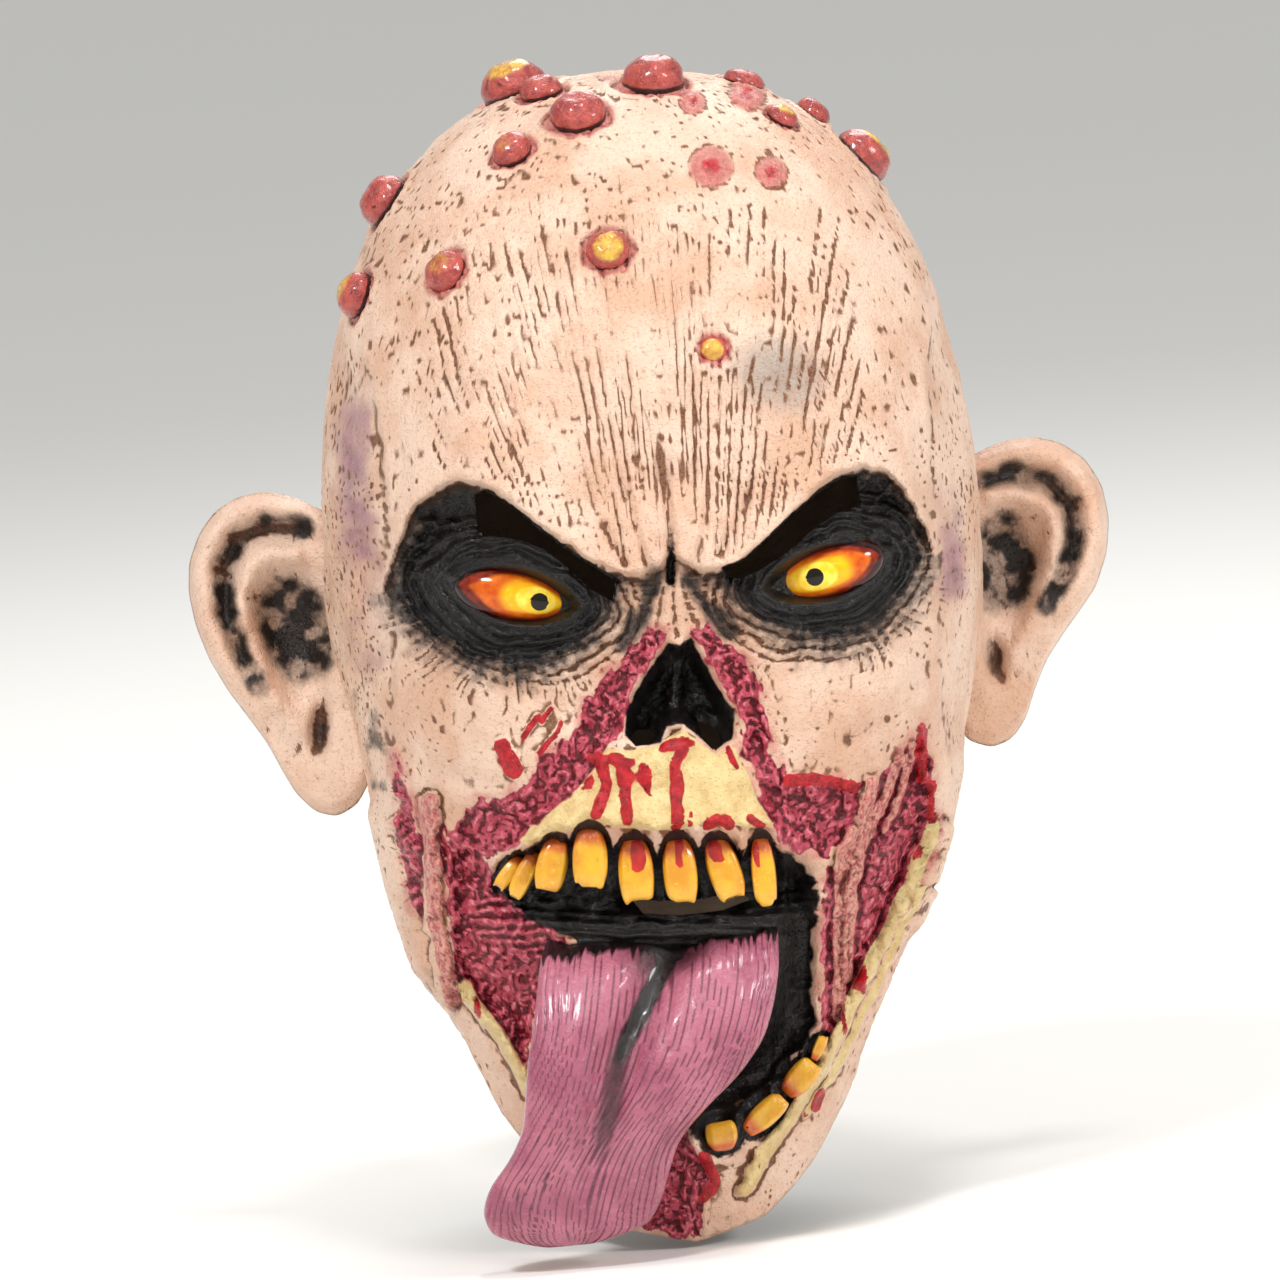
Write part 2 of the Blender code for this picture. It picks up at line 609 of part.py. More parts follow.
for name, across, down, half_length, half_height, lean in eyes:
    middle, outward = on_skin(across, down)
    ball, shape_faces = dome_shape(np.zeros(3), np.array((0.0, -1.0, 0.0)), 1.0, 1.0, 24, 9)
    c, s = math.cos(math.radians(lean)), math.sin(math.radians(lean))
    size = (half_length * head_width, 0.040 * head_width, half_height * head_width)
    ball = ball * size
    ball = np.stack([ball[:, 0] * c - ball[:, 2] * s, ball[:, 1], ball[:, 0] * s + ball[:, 2] * c], axis=-1)
    eye = new_object(name, ball + middle + np.array((0.0, 0.013 * head_width, 0.0)), shape_faces, eye_paint)
    boolean(eye, seat, "DIFFERENCE")
    settle(eye, largest=True)

tongue = new_object("tongue", *tongue_shape(), tongue_paint)
boolean(tongue, seat, "DIFFERENCE")
settle(tongue, largest=True)
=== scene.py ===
import math
import time
import bpy
import numpy as np
from mathutils import Matrix, Vector


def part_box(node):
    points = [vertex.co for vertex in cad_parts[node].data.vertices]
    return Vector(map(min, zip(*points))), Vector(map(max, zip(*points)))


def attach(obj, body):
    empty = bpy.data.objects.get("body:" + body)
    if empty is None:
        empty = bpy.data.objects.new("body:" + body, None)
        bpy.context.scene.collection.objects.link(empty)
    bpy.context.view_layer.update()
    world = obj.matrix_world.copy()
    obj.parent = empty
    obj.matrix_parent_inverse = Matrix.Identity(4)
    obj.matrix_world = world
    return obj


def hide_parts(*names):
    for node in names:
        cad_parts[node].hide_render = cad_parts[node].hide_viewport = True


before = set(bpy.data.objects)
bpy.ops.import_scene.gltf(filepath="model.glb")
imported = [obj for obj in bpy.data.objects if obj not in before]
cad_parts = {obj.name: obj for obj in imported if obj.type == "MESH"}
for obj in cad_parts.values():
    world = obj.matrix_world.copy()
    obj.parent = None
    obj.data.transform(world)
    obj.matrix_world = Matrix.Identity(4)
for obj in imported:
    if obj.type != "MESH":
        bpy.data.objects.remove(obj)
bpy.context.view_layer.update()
print("frame loaded")

# All sculpting below is in millimetres in the CAD's frame: face towards -Y, origin inside the crown.
# "Seen" places are millimetres across and up on a flat sheet that faces the side the photo shows.
view = {"turn": -3.5, "rise": 5.5, "roll": 4.5, "distance": 3.4, "frameWidth": 0.4096, "middleX": 3.5, "middleZ": 181.8}
turnRad, riseRad = math.radians(view["turn"]), math.radians(view["rise"])
seenRight = np.array([math.cos(turnRad), math.sin(turnRad), 0.0])
seenUp = np.array([-math.sin(turnRad) * math.sin(riseRad), math.cos(turnRad) * math.sin(riseRad), math.cos(riseRad)])
seenBack = np.array([math.sin(turnRad) * math.cos(riseRad), -math.cos(turnRad) * math.cos(riseRad), math.sin(riseRad)])

skinLow, skinHigh = (np.array(corner) * 1000 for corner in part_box("mask_skin"))
head = {
    "halfWidth": 107.0 * (skinHigh[0] - skinLow[0]) / 297.3,
    "depth": 236.0,
    "height": 369.0,
    "wall": 2.2,
    "frontSquare": 2.3,
    "backSquare": 2.05,
    "domeEnd": 0.325,
    "columns": 560,
    "domeRows": 100,
    "lowerRows": 350,
    "keepTriangles": 172000,
}

# down, half width, front, back, shift to the side: the level cuts of the CAD skin
headCuts = np.array([
    (0.000, 0.000, 0.000, 0.000, 0.000), (0.024, 0.439, 0.186, 0.195, 0.000), (0.054, 0.584, 0.258, 0.271, 0.000),
    (0.089, 0.696, 0.322, 0.339, 0.000), (0.122, 0.785, 0.369, 0.386, 0.000), (0.190, 0.888, 0.436, 0.449, 0.000),
    (0.271, 0.958, 0.475, 0.492, 0.000), (0.339, 0.995, 0.487, 0.513, 0.000), (0.412, 1.000, 0.487, 0.513, 0.000),
    (0.493, 0.972, 0.479, 0.483, 0.000), (0.575, 0.935, 0.479, 0.415, 0.000), (0.637, 0.897, 0.487, 0.356, -0.019),
    (0.718, 0.832, 0.475, 0.326, -0.047), (0.786, 0.738, 0.449, 0.322, -0.075), (0.829, 0.654, 0.432, 0.331, -0.093),
    (0.886, 0.617, 0.415, 0.339, -0.093), (0.946, 0.542, 0.394, 0.347, -0.093), (1.000, 0.467, 0.373, 0.356, -0.084),
])
hemLine = np.array([(0, 1.0), (15, 0.984), (29, 0.946), (46, 0.886), (54, 0.829), (62, 0.802), (75, 0.786), (90, 0.780), (130, 0.791), (180, 0.808)])

rng = np.random.default_rng(7)
started = time.time()


def report(text):
    print(f"{time.time() - started:5.1f} s  {text}", flush=True)


def smooth(value, low, high):
    share = np.clip((value - low) / (high - low), 0, 1)
    return share * share * (3 - 2 * share)


def bell(value, width):
    return np.exp(-((value / width) ** 2))


def hashed(x, y, z, seed):
    with np.errstate(over="ignore"):
        h = x.astype(np.uint32) * np.uint32(374761393) + y.astype(np.uint32) * np.uint32(668265263)
        h = h + z.astype(np.uint32) * np.uint32(2246822519) + np.uint32(seed) * np.uint32(3266489917)
        h = (h ^ (h >> np.uint32(13))) * np.uint32(1274126177)
        h = (h ^ (h >> np.uint32(16))) * np.uint32(2654435761)
    return ((h ^ (h >> np.uint32(15))) & np.uint32(0xFFFFFF)).astype(np.float64) / 0xFFFFFF


# smooth random height from -1 to 1
def noise(points, seed=0):
    floor = np.floor(points)
    part = points - floor
    part = part * part * (3 - 2 * part)
    cell = floor.astype(np.int64)
    total = 0
    for i in (0, 1):
        for j in (0, 1):
            for k in (0, 1):
                weight = (part[:, 0] if i else 1 - part[:, 0]) * (part[:, 1] if j else 1 - part[:, 1]) * (part[:, 2] if k else 1 - part[:, 2])
                total = total + weight * hashed(cell[:, 0] + i, cell[:, 1] + j, cell[:, 2] + k, seed)
    return total * 2 - 1


def layered(points, octaves=3, seed=0):
    total, size = 0, 1.0
    for n in range(octaves):
        total = total + noise(points * 2.03**n, seed + n * 17) * size
        size *= 0.5
    return total / 1.6


# thin crests on a flat ground, for wrinkles
def crests(points, seed=0, octaves=2):
    total, size = 0, 1.0
    for n in range(octaves):
        total = total + (1 - np.abs(noise(points * 2.1**n, seed + n * 31)) * 2.2) * size
        size *= 0.45
    return np.clip(total / 1.3, -0.6, 1.0)


# distance to the nearest scattered seed over its own radius, and the seed's random number
def blobs(points, seed=0, small=0.25, large=0.6, flat=False):
    cell = np.floor(points).astype(np.int64)
    best = np.full(len(points), 9.0)
    who = np.zeros(len(points))
    for i in (-1, 0, 1):
        for j in (-1, 0, 1):
            for k in (0,) if flat else (-1, 0, 1):
                at = cell + (i, j, k)
                a, b, c = (hashed(at[:, 0], at[:, 1], at[:, 2], seed + n) for n in (1, 2, 3))
                size = small + (large - small) * hashed(at[:, 0], at[:, 1], at[:, 2], seed + 4)
                deep = 0 if flat else (points[:, 2] - at[:, 2] - c) ** 2
                gap = np.sqrt((points[:, 0] - at[:, 0] - a) ** 2 + (points[:, 1] - at[:, 1] - b) ** 2 + deep) / size
                near = gap < best
                best = np.where(near, gap, best)
                who = np.where(near, a, who)
    return best, who


# distance to a line of seen places, and how far along it the nearest place is, from 0 to 1
def lineGap(x, y, line, reach=40):
    line = np.array(line, float)
    lengths = np.hypot(*(line[1:] - line[:-1]).T)
    best, along, done = np.full(x.shape, 1e3), np.zeros(x.shape), 0.0
    low, high = line.min(axis=0) - reach, line.max(axis=0) + reach
    near = np.flatnonzero((x > low[0]) & (x < high[0]) & (y > low[1]) & (y < high[1]))
    px, py, found, where = x[near], y[near], best[near], along[near]
    for (ax, ay), (bx, by), length in zip(line[:-1], line[1:], lengths):
        share = np.clip(((px - ax) * (bx - ax) + (py - ay) * (by - ay)) / length**2, 0, 1)
        gap = np.hypot(px - ax - share * (bx - ax), py - ay - share * (by - ay))
        where = np.where(gap < found, (done + share * length) / lengths.sum(), where)
        found = np.minimum(found, gap)
        done += length
    best[near], along[near] = found, where
    return best, along


# distance to the edge of a patch of seen places, below 0 inside it
def patchGap(x, y, corners, reach=40):
    corners = np.array(corners, float)
    gap, _ = lineGap(x, y, np.vstack([corners, corners[:1]]), reach)
    near = np.flatnonzero(gap < 999)
    px, py = x[near], y[near]
    inside = np.zeros(px.shape, bool)
    for (ax, ay), (bx, by) in zip(corners, np.roll(corners, -1, axis=0)):
        if ay != by:
            inside ^= ((ay > py) != (by > py)) & (px < (bx - ax) * (py - ay) / (by - ay) + ax)
    gap[near] = np.where(inside, -gap[near], gap[near])
    return gap


def ellipseShare(x, y, middleX, middleY, radiusX, radiusY, lean=0.0):
    c, s = math.cos(math.radians(lean)), math.sin(math.radians(lean))
    p, q = (x - middleX) * c + (y - middleY) * s, -(x - middleX) * s + (y - middleY) * c
    return np.sqrt((p / radiusX) ** 2 + (q / radiusY) ** 2)


def seenFrom(points):
    return view["middleX"] + points @ seenRight, view["middleZ"] + points @ seenUp


def easeCuts():
    at = np.linspace(0, 1.1, 90)
    fine = np.stack([np.interp(at, np.sqrt(headCuts[:, 0]), headCuts[:, i]) for i in range(1, 5)], axis=-1)
    for _ in range(14):
        fine[1:-1] = (fine[:-2] + 2 * fine[1:-1] + fine[2:]) / 4
    return np.column_stack([at, fine])


easedCuts = easeCuts()


def headPoint(turn, down):
    at = np.sqrt(np.clip(down, 0, None))
    wide, front, back, shift = (np.interp(at, easedCuts[:, 0], easedCuts[:, i]) for i in range(1, 5))
    wide, shift = wide * head["halfWidth"], shift * head["halfWidth"]
    facing = np.cos(turn) > 0
    deep = np.where(facing, front, back) * head["depth"]
    square = np.where(facing, head["frontSquare"], head["backSquare"])
    side = np.abs(np.sin(turn)) / np.maximum(wide, 1e-3)
    ahead = np.abs(np.cos(turn)) / np.maximum(deep, 1e-3)
    reach = np.where(wide < 1e-2, 0, (side**square + ahead**square) ** (-1 / square))
    return np.stack([shift + reach * np.sin(turn), -reach * np.cos(turn), head["wall"] - down * head["height"]], axis=-1)


def headNormal(turn, down):
    tiny = 2e-3
    along = headPoint(turn + tiny, down) - headPoint(turn - tiny, down)
    below = headPoint(turn, down + tiny) - headPoint(turn, np.maximum(down - tiny, 1e-6))
    normal = np.cross(below, along)
    return normal / np.maximum(np.linalg.norm(normal, axis=-1, keepdims=True), 1e-9)


# Where things are on the face, in seen places.
browEdge = [(-84, 22), (-80, 30), (-76, 38), (-70, 47), (-64, 52.5), (-56, 54), (-49, 52), (-40, 45.5), (-30, 36.5), (-20, 28), (-12, 22.5), (-5, 20),
            (2, 20.5), (6, 23.5), (9.5, 27), (12.5, 23.5), (17, 20), (22, 19.3), (29, 21), (37, 26.5), (46, 34), (56, 42), (64, 47), (72, 48.3), (79, 46), (85, 39), (89, 30), (92, 20)]
socketEdge = {
    "left": [(-79, 30), (-75, 40), (-69, 48), (-63, 52), (-56, 53.5), (-48, 51), (-39, 44.5), (-29, 35.5), (-19, 27), (-9, 19), (-12, 10), (-18, 2), (-28, -4), (-41, -7), (-55, -4), (-68, 3), (-77, 12), (-82, 21)],
    "right": [(21, 18.5), (30, 22), (38, 28), (47, 35.5), (57, 43), (65, 47), (73, 48), (80, 45.5), (86, 38), (90, 28), (89, 18), (84, 8), (76, 0), (66, -5), (54, -6), (43, -3), (34, 4), (27, 11)],
}
eyeShape = {  # middle across and up, lean, half length, rise of the upper lid, drop of the lower lid
    "left": (-40.5, 17.3, -15.5, 19.5, 8.0, 8.6),
    "right": (55.8, 17.2, 12.5, 19.3, 7.2, 9.0),
}
slitShape = {
    "left": [(-51.5, 50), (-48, 50.5), (-42, 46.5), (-36, 41), (-31, 36.2), (-22, 28.5), (-13, 22), (-9.5, 19.5), (-11, 13.2), (-17, 17), (-24, 24.5), (-31, 31), (-38, 34.5), (-47, 36.5), (-51.5, 38)],
    "right": [(25, 20.5), (31, 22.2), (38, 27.5), (47, 35), (57, 42.4), (64, 46), (69, 46.2), (69.5, 37), (61, 35), (53, 30), (45, 24), (37, 19.5), (30, 17), (25.5, 17.5)],
}
nosePit = [(5, 0), (9, -1.5), (14, 0), (17, -8), (21, -16), (25, -24), (23.5, -33), (18, -37), (12.5, -32), (8, -27.5), (3, -28), (0, -33), (-7, -34), (-11, -30), (-9.5, -22), (-5, -13), (1, -6)]
nostrils = {"left": [(-9.2, -30.5), (-6.5, -28.2), (-2.5, -28.2), (-0.8, -30.5), (-3, -32.8), (-7.2, -33)], "right": [(12.8, -27), (16, -27.5), (19.3, -30.5), (19.6, -35), (16.8, -36), (14.2, -33)]}
toothTable = {  # middle across and up, half width, half height, lean, from the viewer's left
    "upper_tooth_1": (-50.2, -69.6, 2.5, 6.3, -40), "upper_tooth_2": (-45.2, -70.4, 3.1, 8.0, -30), "upper_tooth_3": (-36.2, -67.7, 5.0, 8.4, -17),
    "upper_tooth_4": (-24.2, -66.4, 5.6, 9.8, -4), "upper_tooth_5": (-10.2, -71.6, 5.6, 10.6, 0), "upper_tooth_6": (3.6, -72.6, 5.4, 10.6, 1),
    "upper_tooth_7": (17.4, -73.4, 5.2, 10.4, 14), "upper_tooth_8": (29.8, -75.0, 3.9, 11.4, 1),
    "lower_tooth_1": (10.2, -158.3, 5.2, 4.9, 4), "lower_tooth_2": (24.2, -153.0, 4.0, 8.2, -52), "lower_tooth_3": (36.4, -142.6, 4.3, 6.8, -46), "lower_tooth_4": (43.2, -133.5, 1.9, 4.4, -28),
}
mouthGap = [(-13, -80.5), (-4, -82.5), (10, -83), (22, -81), (25, -84.5), (16, -87), (2, -87.5), (-9, -86)]
mouthDark = [(-57, -76), (-54, -71), (-48, -68), (-41, -66), (-30, -65), (-17, -66), (-10, -68), (-3, -69), (10, -69.5), (24, -70), (33, -67), (39, -69), (44, -74), (46, -80),
             (46, -88), (45, -98), (43, -112), (43, -128), (42, -134), (35, -136), (29, -143), (20, -149), (14, -151), (1, -149), (-4, -154), (-6, -148), (10, -142), (20, -130), (26, -114), (28, -99),
             (10, -101), (-10, -101), (-30, -95), (-44, -86), (-52, -80)]
jawBlack = [(0, -150), (12, -149), (22, -146), (30, -139), (36, -134), (43, -128), (45, -133), (42, -143), (33, -152), (24, -158), (17, -163), (10, -166.5), (3, -163), (0, -156)]
upperJaw = [(-16, -33), (-8, -34.5), (0, -33), (8, -29), (13, -34), (19, -38), (24, -36), (27, -44), (30, -54), (34, -62), (16, -60), (-4, -60), (-18, -57), (-31, -58), (-44, -62), (-47, -60), (-40, -55), (-32, -49), (-25, -43), (-19, -37)]
meat = {
    "noseLeft": [(5, 2), (0, 3.5), (-6, -1), (-12, -7), (-19, -14), (-24, -23), (-31, -30), (-40, -38), (-49, -47), (-58, -46), (-66, -51), (-70, -57), (-66, -64), (-57, -66), (-48, -62), (-40, -55), (-31, -49), (-23, -41), (-16, -33), (-11, -29), (-8, -18), (-3, -10), (3, -3)],
    "noseRight": [(14, 1), (18, 4), (23, -3), (29, -7), (33, -16), (35, -27), (36, -38), (40, -48), (48, -49), (56, -48), (63, -50), (62, -60), (57, -68), (50, -73), (42, -70), (35, -66), (32, -57), (28, -45), (26, -36), (26, -25), (21, -14), (17, -6)],
    "cheekLeft": [(-72, -52), (-66, -60), (-56, -66), (-50, -76), (-40, -85), (-34, -95), (-38, -104), (-45, -116), (-49, -130), (-52, -131), (-58, -119), (-66, -108), (-72, -111), (-71, -98), (-71, -80), (-72, -64)],
    "stripLeft": [(-84, -30), (-80.5, -38), (-78, -50), (-77.5, -62), (-77, -72), (-79, -82), (-83, -79), (-84, -66), (-84.5, -50), (-85.5, -38)],
    "cheekRight": [(84, -33), (77, -42), (68, -48), (63, -58), (58, -68), (50, -78), (47, -90), (47, -104), (45, -118), (43, -130), (46, -136), (54, -124), (62, -110), (70, -98), (77, -86), (84, -76), (87, -62), (86.5, -46)],
    "chin": [(-1, -152), (-6, -160), (-10, -172), (-17, -186), (-6, -191), (1, -190), (3, -176), (6, -168), (2, -160)],
}
strands = [  # line, half width, rise: cords of flesh and bone that cross the torn cheeks
    ([(85, -66), (78, -82), (69, -97), (60, -112), (52, -126), (45, -138), (34, -153), (24, -165), (16, -176)], 2.7, 2.8, "bone"),
    ([(80, -86), (72, -101), (63, -116), (55, -130), (47, -143), (38, -155)], 1.5, 1.6, "bone"),
    ([(-68, -106), (-61, -118), (-54, -130), (-49, -141)], 2.6, 3.4, "bone"),
    ([(58, -66), (55, -80), (53, -95), (52, -110), (50, -124)], 2.4, 2.6, "pale"),
    ([(66, -50), (62, -66), (58, -82), (56, -98), (54, -112)], 2.0, 2.2, "pale"),
    ([(76, -44), (70, -56), (63, -68), (57, -84)], 2.0, 2.0, "pale"),
    ([(80, -40), (77, -52), (70, -66)], 1.6, 1.6, "pale"),
    ([(-74, -46), (-75, -62), (-75, -80), (-74, -96), (-72, -110)], 2.8, 3.2, "pale"),
]
redDrips = [  # line, half width
    ([(-19, -36), (-17, -44), (-21, -53)], 2.1), ([(-14, -36), (-11, -45), (-11.5, -56)], 1.8), ([(-22, -35.5), (-8, -38)], 1.4), ([(1, -34), (10, -33.5)], 1.6),
    ([(8, -34), (5, -40), (4.5, -50), (4, -59)], 2.3), ([(13, -60), (17, -57.5), (20, -60)], 2.0), ([(-5, -39), (-4, -46)], 1.0), ([(22, -36), (24, -42)], 1.0),
    ([(-49, -29), (-47, -34), (-46, -38)], 2.9), ([(-37, -21), (-42, -27)], 1.2), ([(-30, -24), (-37, -33)], 1.0), ([(27, -58), (30, -61)], 1.4), ([(-33, -19), (-36, -23)], 1.0),
    ([(84, -36), (83, -44), (83, -50)], 2.0), ([(86, -52), (85, -64)], 1.4), ([(40, -47), (52, -49), (60, -51)], 2.0), ([(44, -148), (41, -153)], 1.8), ([(4, -164), (7, -172), (3, -178)], 1.8),
]
pitSpots = [(-38, 139, 4.0), (-52, 145, 5.5), (-60, 130, 6), (-70, 122, 7), (-74, 100, 6), (15, 117, 3.2), (24, 108, 3.6), (75, 130, 4), (-82, 70, 5), (-86, 55, 5), (66, 120, 3.5), (50, 152, 4), (-34, 148, 4), (-66, 143, 5)]

boilTable = [  # turn from the face, drop, radius / head width, height / radius, as the CAD has them
    (-84, 0.012, 0.050, 0.95), (-50, 0.012, 0.032, 0.80), (20, 0.010, 0.046, 0.85), (-19, 0.031, 0.042, 0.75), (-36, 0.056, 0.030, 0.80),
    (-84, 0.098, 0.041, 0.95), (-71, 0.173, 0.036, 0.85), (-41, 0.152, 0.032, 0.80), (-8, 0.142, 0.032, 0.75), (9, 0.231, 0.022, 0.70),
    (74, 0.019, 0.032, 0.60), (53, 0.048, 0.024, 0.70), (84, 0.052, 0.028, 0.80), (84, 0.093, 0.046, 0.85),
]
flatSpots = [(31, 148, 6.0), (50, 145, 4.5), (27, 170, 3.6), (1, 184, 3.6), (45, 172, 5.0)]  # low red sores: seen place and radius
report("tables read")


def almond(side, grow=0.0):
    middleX, middleY, lean, half, rise, drop = eyeShape[side]
    way = np.linspace(-1, 1, 19)
    arch = (1 - way**2) ** 0.72
    rim = np.vstack([np.stack([way * (half + grow), arch * (rise + grow)], -1), np.stack([way[::-1] * (half + grow), -arch * (drop + grow)], -1)[1:-1]])
    c, s = math.cos(math.radians(lean)), math.sin(math.radians(lean))
    return np.stack([middleX + rim[:, 0] * c - rim[:, 1] * s, middleY + rim[:, 0] * s + rim[:, 1] * c], -1)


# seen places with a ragged shift, so that no torn or painted edge is clean
def raggedPlaces(x, y, amount=1.0):
    flat = np.stack([x, y, np.zeros(len(x))], -1)
    shiftX = layered(flat / 6.5, 3, 41)
    shiftY = layered(flat / 6.5, 3, 67)
    return x + shiftX * amount * 1.5, y + shiftY * amount * 1.5


# How far every place of the face is raised or sunk, in millimetres.
def faceLift(points, turnAngle, dropShare):
    x, y = seenFrom(points)
    flat = np.stack([x, y, np.zeros(len(x))], -1)
    rx, ry = raggedPlaces(x, y)
    front = smooth(-points[:, 1], -4, 34)
    lift = np.zeros(len(x))

    def mound(middleX, middleY, radiusX, radiusY, rise, lean=0.0):
        return rise * np.exp(-(ellipseShare(x, y, middleX, middleY, radiusX, radiusY, lean) ** 3))

    # forehead, cheekbones, jaw
    lift += mound(-38, 92, 43, 30, 2.8) + mound(46, 94, 43, 30, 2.8)
    lift += mound(-64, -20, 31, 25, 8.5) + mound(61, -18, 30, 25, 8.5)
    lift += mound(-2, -174, 28, 19, 4.6)

    # brow: a heavy roll that ends in a sharp edge over the eyes
    above = ry - np.interp(rx, *np.array(browEdge).T)
    browSpan = smooth(x, -93, -78) * (1 - smooth(x, 86, 99))
    roll = smooth(above, -1.4, 1.8) * np.exp(-(np.maximum(above, 0) / 18) ** 1.5)
    lift += browSpan * 9.0 * roll
    under = 1 - smooth(above, -2.5, 0.5)
    lift += browSpan * (mound(-34, 62, 24, 12, 3.0, -28) + mound(44, 60, 24, 11, 3.0, 28) + mound(1, 36, 8, 12, 3.2) + mound(17, 36, 8, 12, 3.0)) * smooth(above, -1, 3)
    crease, alongCrease = lineGap(x, y, [(7.6, 19), (8.6, 26), (9.2, 36), (8.0, 50), (7.6, 66)])
    lift -= 4.2 * bell(crease, 1.7) * (1 - alongCrease) ** 0.7
    for line, depth in (([(1, 21), (-2, 34), (-5, 52), (-8, 74)], 2.6), ([(16, 21), (20, 34), (23, 50), (27, 70)], 2.4), ([(-6, 24), (-12, 36), (-17, 52), (-20, 70)], 2.0), ([(24, 25), (32, 38), (38, 52), (43, 68)], 1.8)):
        gap, along = lineGap(x, y, line)
        lift -= depth * bell(gap, 1.5) * (1 - along)

    # long fine furrows that run down the forehead and gather between the brows
    fanAngle = np.degrees(np.arctan2(x - 8.5, np.maximum(y + 105, 20)))
    fanWarp = layered(flat / (22, 60, 1), 3, 11) * 1.5
    furrow = smooth(np.cos(np.radians((fanAngle + fanWarp) * 360 / 1.35)), 0.15, 1.0) + 0.7 * smooth(np.cos(np.radians((fanAngle - fanWarp * 0.7) * 360 / 0.83 + 60)), 0.25, 1.0)
    fanReach = smooth(above, 0.5, 9) * (1 - smooth(y + 5 * noise(flat / 9, 22), 105, 158)) * (1 - smooth(np.abs(x - 4), 60, 88))
    broken = smooth(noise(flat * (0.16, 0.030, 1), 21), -0.45, 0.30)
    lift -= 0.85 * furrow * fanReach * (0.25 + 0.75 * broken)

    # eye sockets with the lids, their folds and the bed of each eye
    for side, outer in (("left", -1), ("right", 1)):
        hollow = patchGap(rx, ry, socketEdge[side])
        lift -= 9.5 * smooth(-hollow, -3, 9) * under
        lid = patchGap(x, y, almond(side))
        lift += 10.5 * np.exp(-(np.maximum(lid, 0) / 12.5) ** 2) * under
        lift -= 6.5 * smooth(-lid, -0.6, 2.4)
        lift += 1.5 * bell(lid - 1.4, 1.0) * under
        wave = 2.6 * noise(flat / 8, 31) + 1.0 * noise(flat / 2.6, 33)
        rings = np.cos(2 * math.pi * lid / 3.4 + wave)
        lift += (1.15 * rings + 0.3 * np.cos(2 * math.pi * lid / 1.7 - wave * 2)) * smooth(lid, 1.6, 4.0) * (1 - smooth(lid, 15, 23)) * under
        # spokes that run out of the black onto the cheek and the temple
        middleX, middleY = eyeShape[side][:2]
        spoke = np.degrees(np.arctan2(y - middleY, (x - middleX) * 0.8)) + 4 * layered(flat / 9, 2, 37)
        reach = smooth(lid, 9, 17) * (1 - smooth(hollow, 5, 20)) * under
        lift += (0.45 * np.cos(np.radians(spoke * 360 / 6.1)) + 0.35 * np.cos(np.radians(spoke * 360 / 2.9))) * reach * smooth(noise(flat / 6, 38), -0.6, 0.4)
    # black wrinkled folds that hang at the outer ends of the lids
    for line in ([(-55, 36), (-61, 42), (-69, 43), (-75, 36)], [(-56, 30), (-63, 36), (-71, 36), (-77, 28)], [(-58, 24), (-66, 28), (-73, 27)], [(72, 34), (77, 41), (84, 40)], [(73, 28), (79, 34), (86, 32)], [(75, 21), (81, 25), (87, 22)]):
        gap, _ = lineGap(x, y, line)
        lift += 1.7 * bell(gap, 1.8) * under
    # soft valley between the eyes
    bridge, alongBridge = lineGap(x, y, [(8.5, 18), (8, 9), (8.5, 1)])
    lift += 2.6 * bell(bridge, 5.5) * (1 - smooth(above, -2, 2)) - 1.3 * bell(bridge, 1.0)
    for line in ([(3, 17), (-1, 8), (-6, 1)], [(13.5, 17), (18, 9), (23, 2)], [(5.5, 16), (3, 8), (2, 2)], [(11.5, 16), (13, 9), (15, 3)]):
        gap, _ = lineGap(x, y, line)
        lift -= 1.1 * bell(gap, 1.1)

    # nose: torn away down to a ridged pit with its middle wall and two holes
    pit = patchGap(rx, ry, nosePit)
    pitDepth = smooth(-pit, -1.2, 6.0)
    lift -= 14.5 * pitDepth
    spokeX, spokeY = x - 6, y + 16
    radial = np.degrees(np.arctan2(spokeY, spokeX)) + 6 * noise(flat / 5, 43)
    lift += 0.9 * np.cos(np.radians(radial * 360 / 16)) * smooth(-pit, 0.4, 3)
    septum, alongSeptum = lineGap(x, y, [(9, -2), (7.5, -10), (6, -19), (5, -29)])
    lift += (5 + 5 * alongSeptum) * bell(septum, 2.6) * smooth(-pit, -2, 1.5)
    for middle in ((-5, -27.5), (16, -26)):
        share = ellipseShare(x, y, *middle, 6.2, 5.6)
        lift += 2.4 * bell(share - 1, 0.28) * smooth(-pit, -1, 1)

    # upper jaw bone with the roots of the teeth showing through it
    lift += 6.6 * np.exp(-(ellipseShare(x, y, -7, -47, 46, 19) ** 3))
    bonePatch = patchGap(rx, ry, upperJaw)
    lift += 1.6 * smooth(-bonePatch, -0.8, 1.6) + 0.5 * crests(flat / (7, 11, 1), 51) * smooth(-bonePatch, 0, 2)
    gum, _ = lineGap(x, y, [(-54, -62), (-40, -59), (-24, -56.5), (-7, -57), (12, -59), (34, -63)])
    lift += 4.6 * bell(gum, 5.5)
    biting, _ = lineGap(x, y, [(-52, -80), (-28, -78), (4, -83), (36, -83)])
    lift -= 7.5 * bell(biting, 6.5)
    for name, (toothX, toothY, halfWide, halfTall, lean) in toothTable.items():
        share = ellipseShare(x, y, toothX, toothY, halfWide + 1.6, halfTall + 1.6, lean)
        lift += -2.6 * (1 - smooth(share, 0.75, 1.12)) + 1.9 * bell(share - 1.32, 0.16)
        if name.startswith("upper"):
            root = (toothX, toothY + halfTall + 5)
            lift += 1.3 * np.exp(-(ellipseShare(x, y, *root, halfWide + 1, 7.5) ** 2))

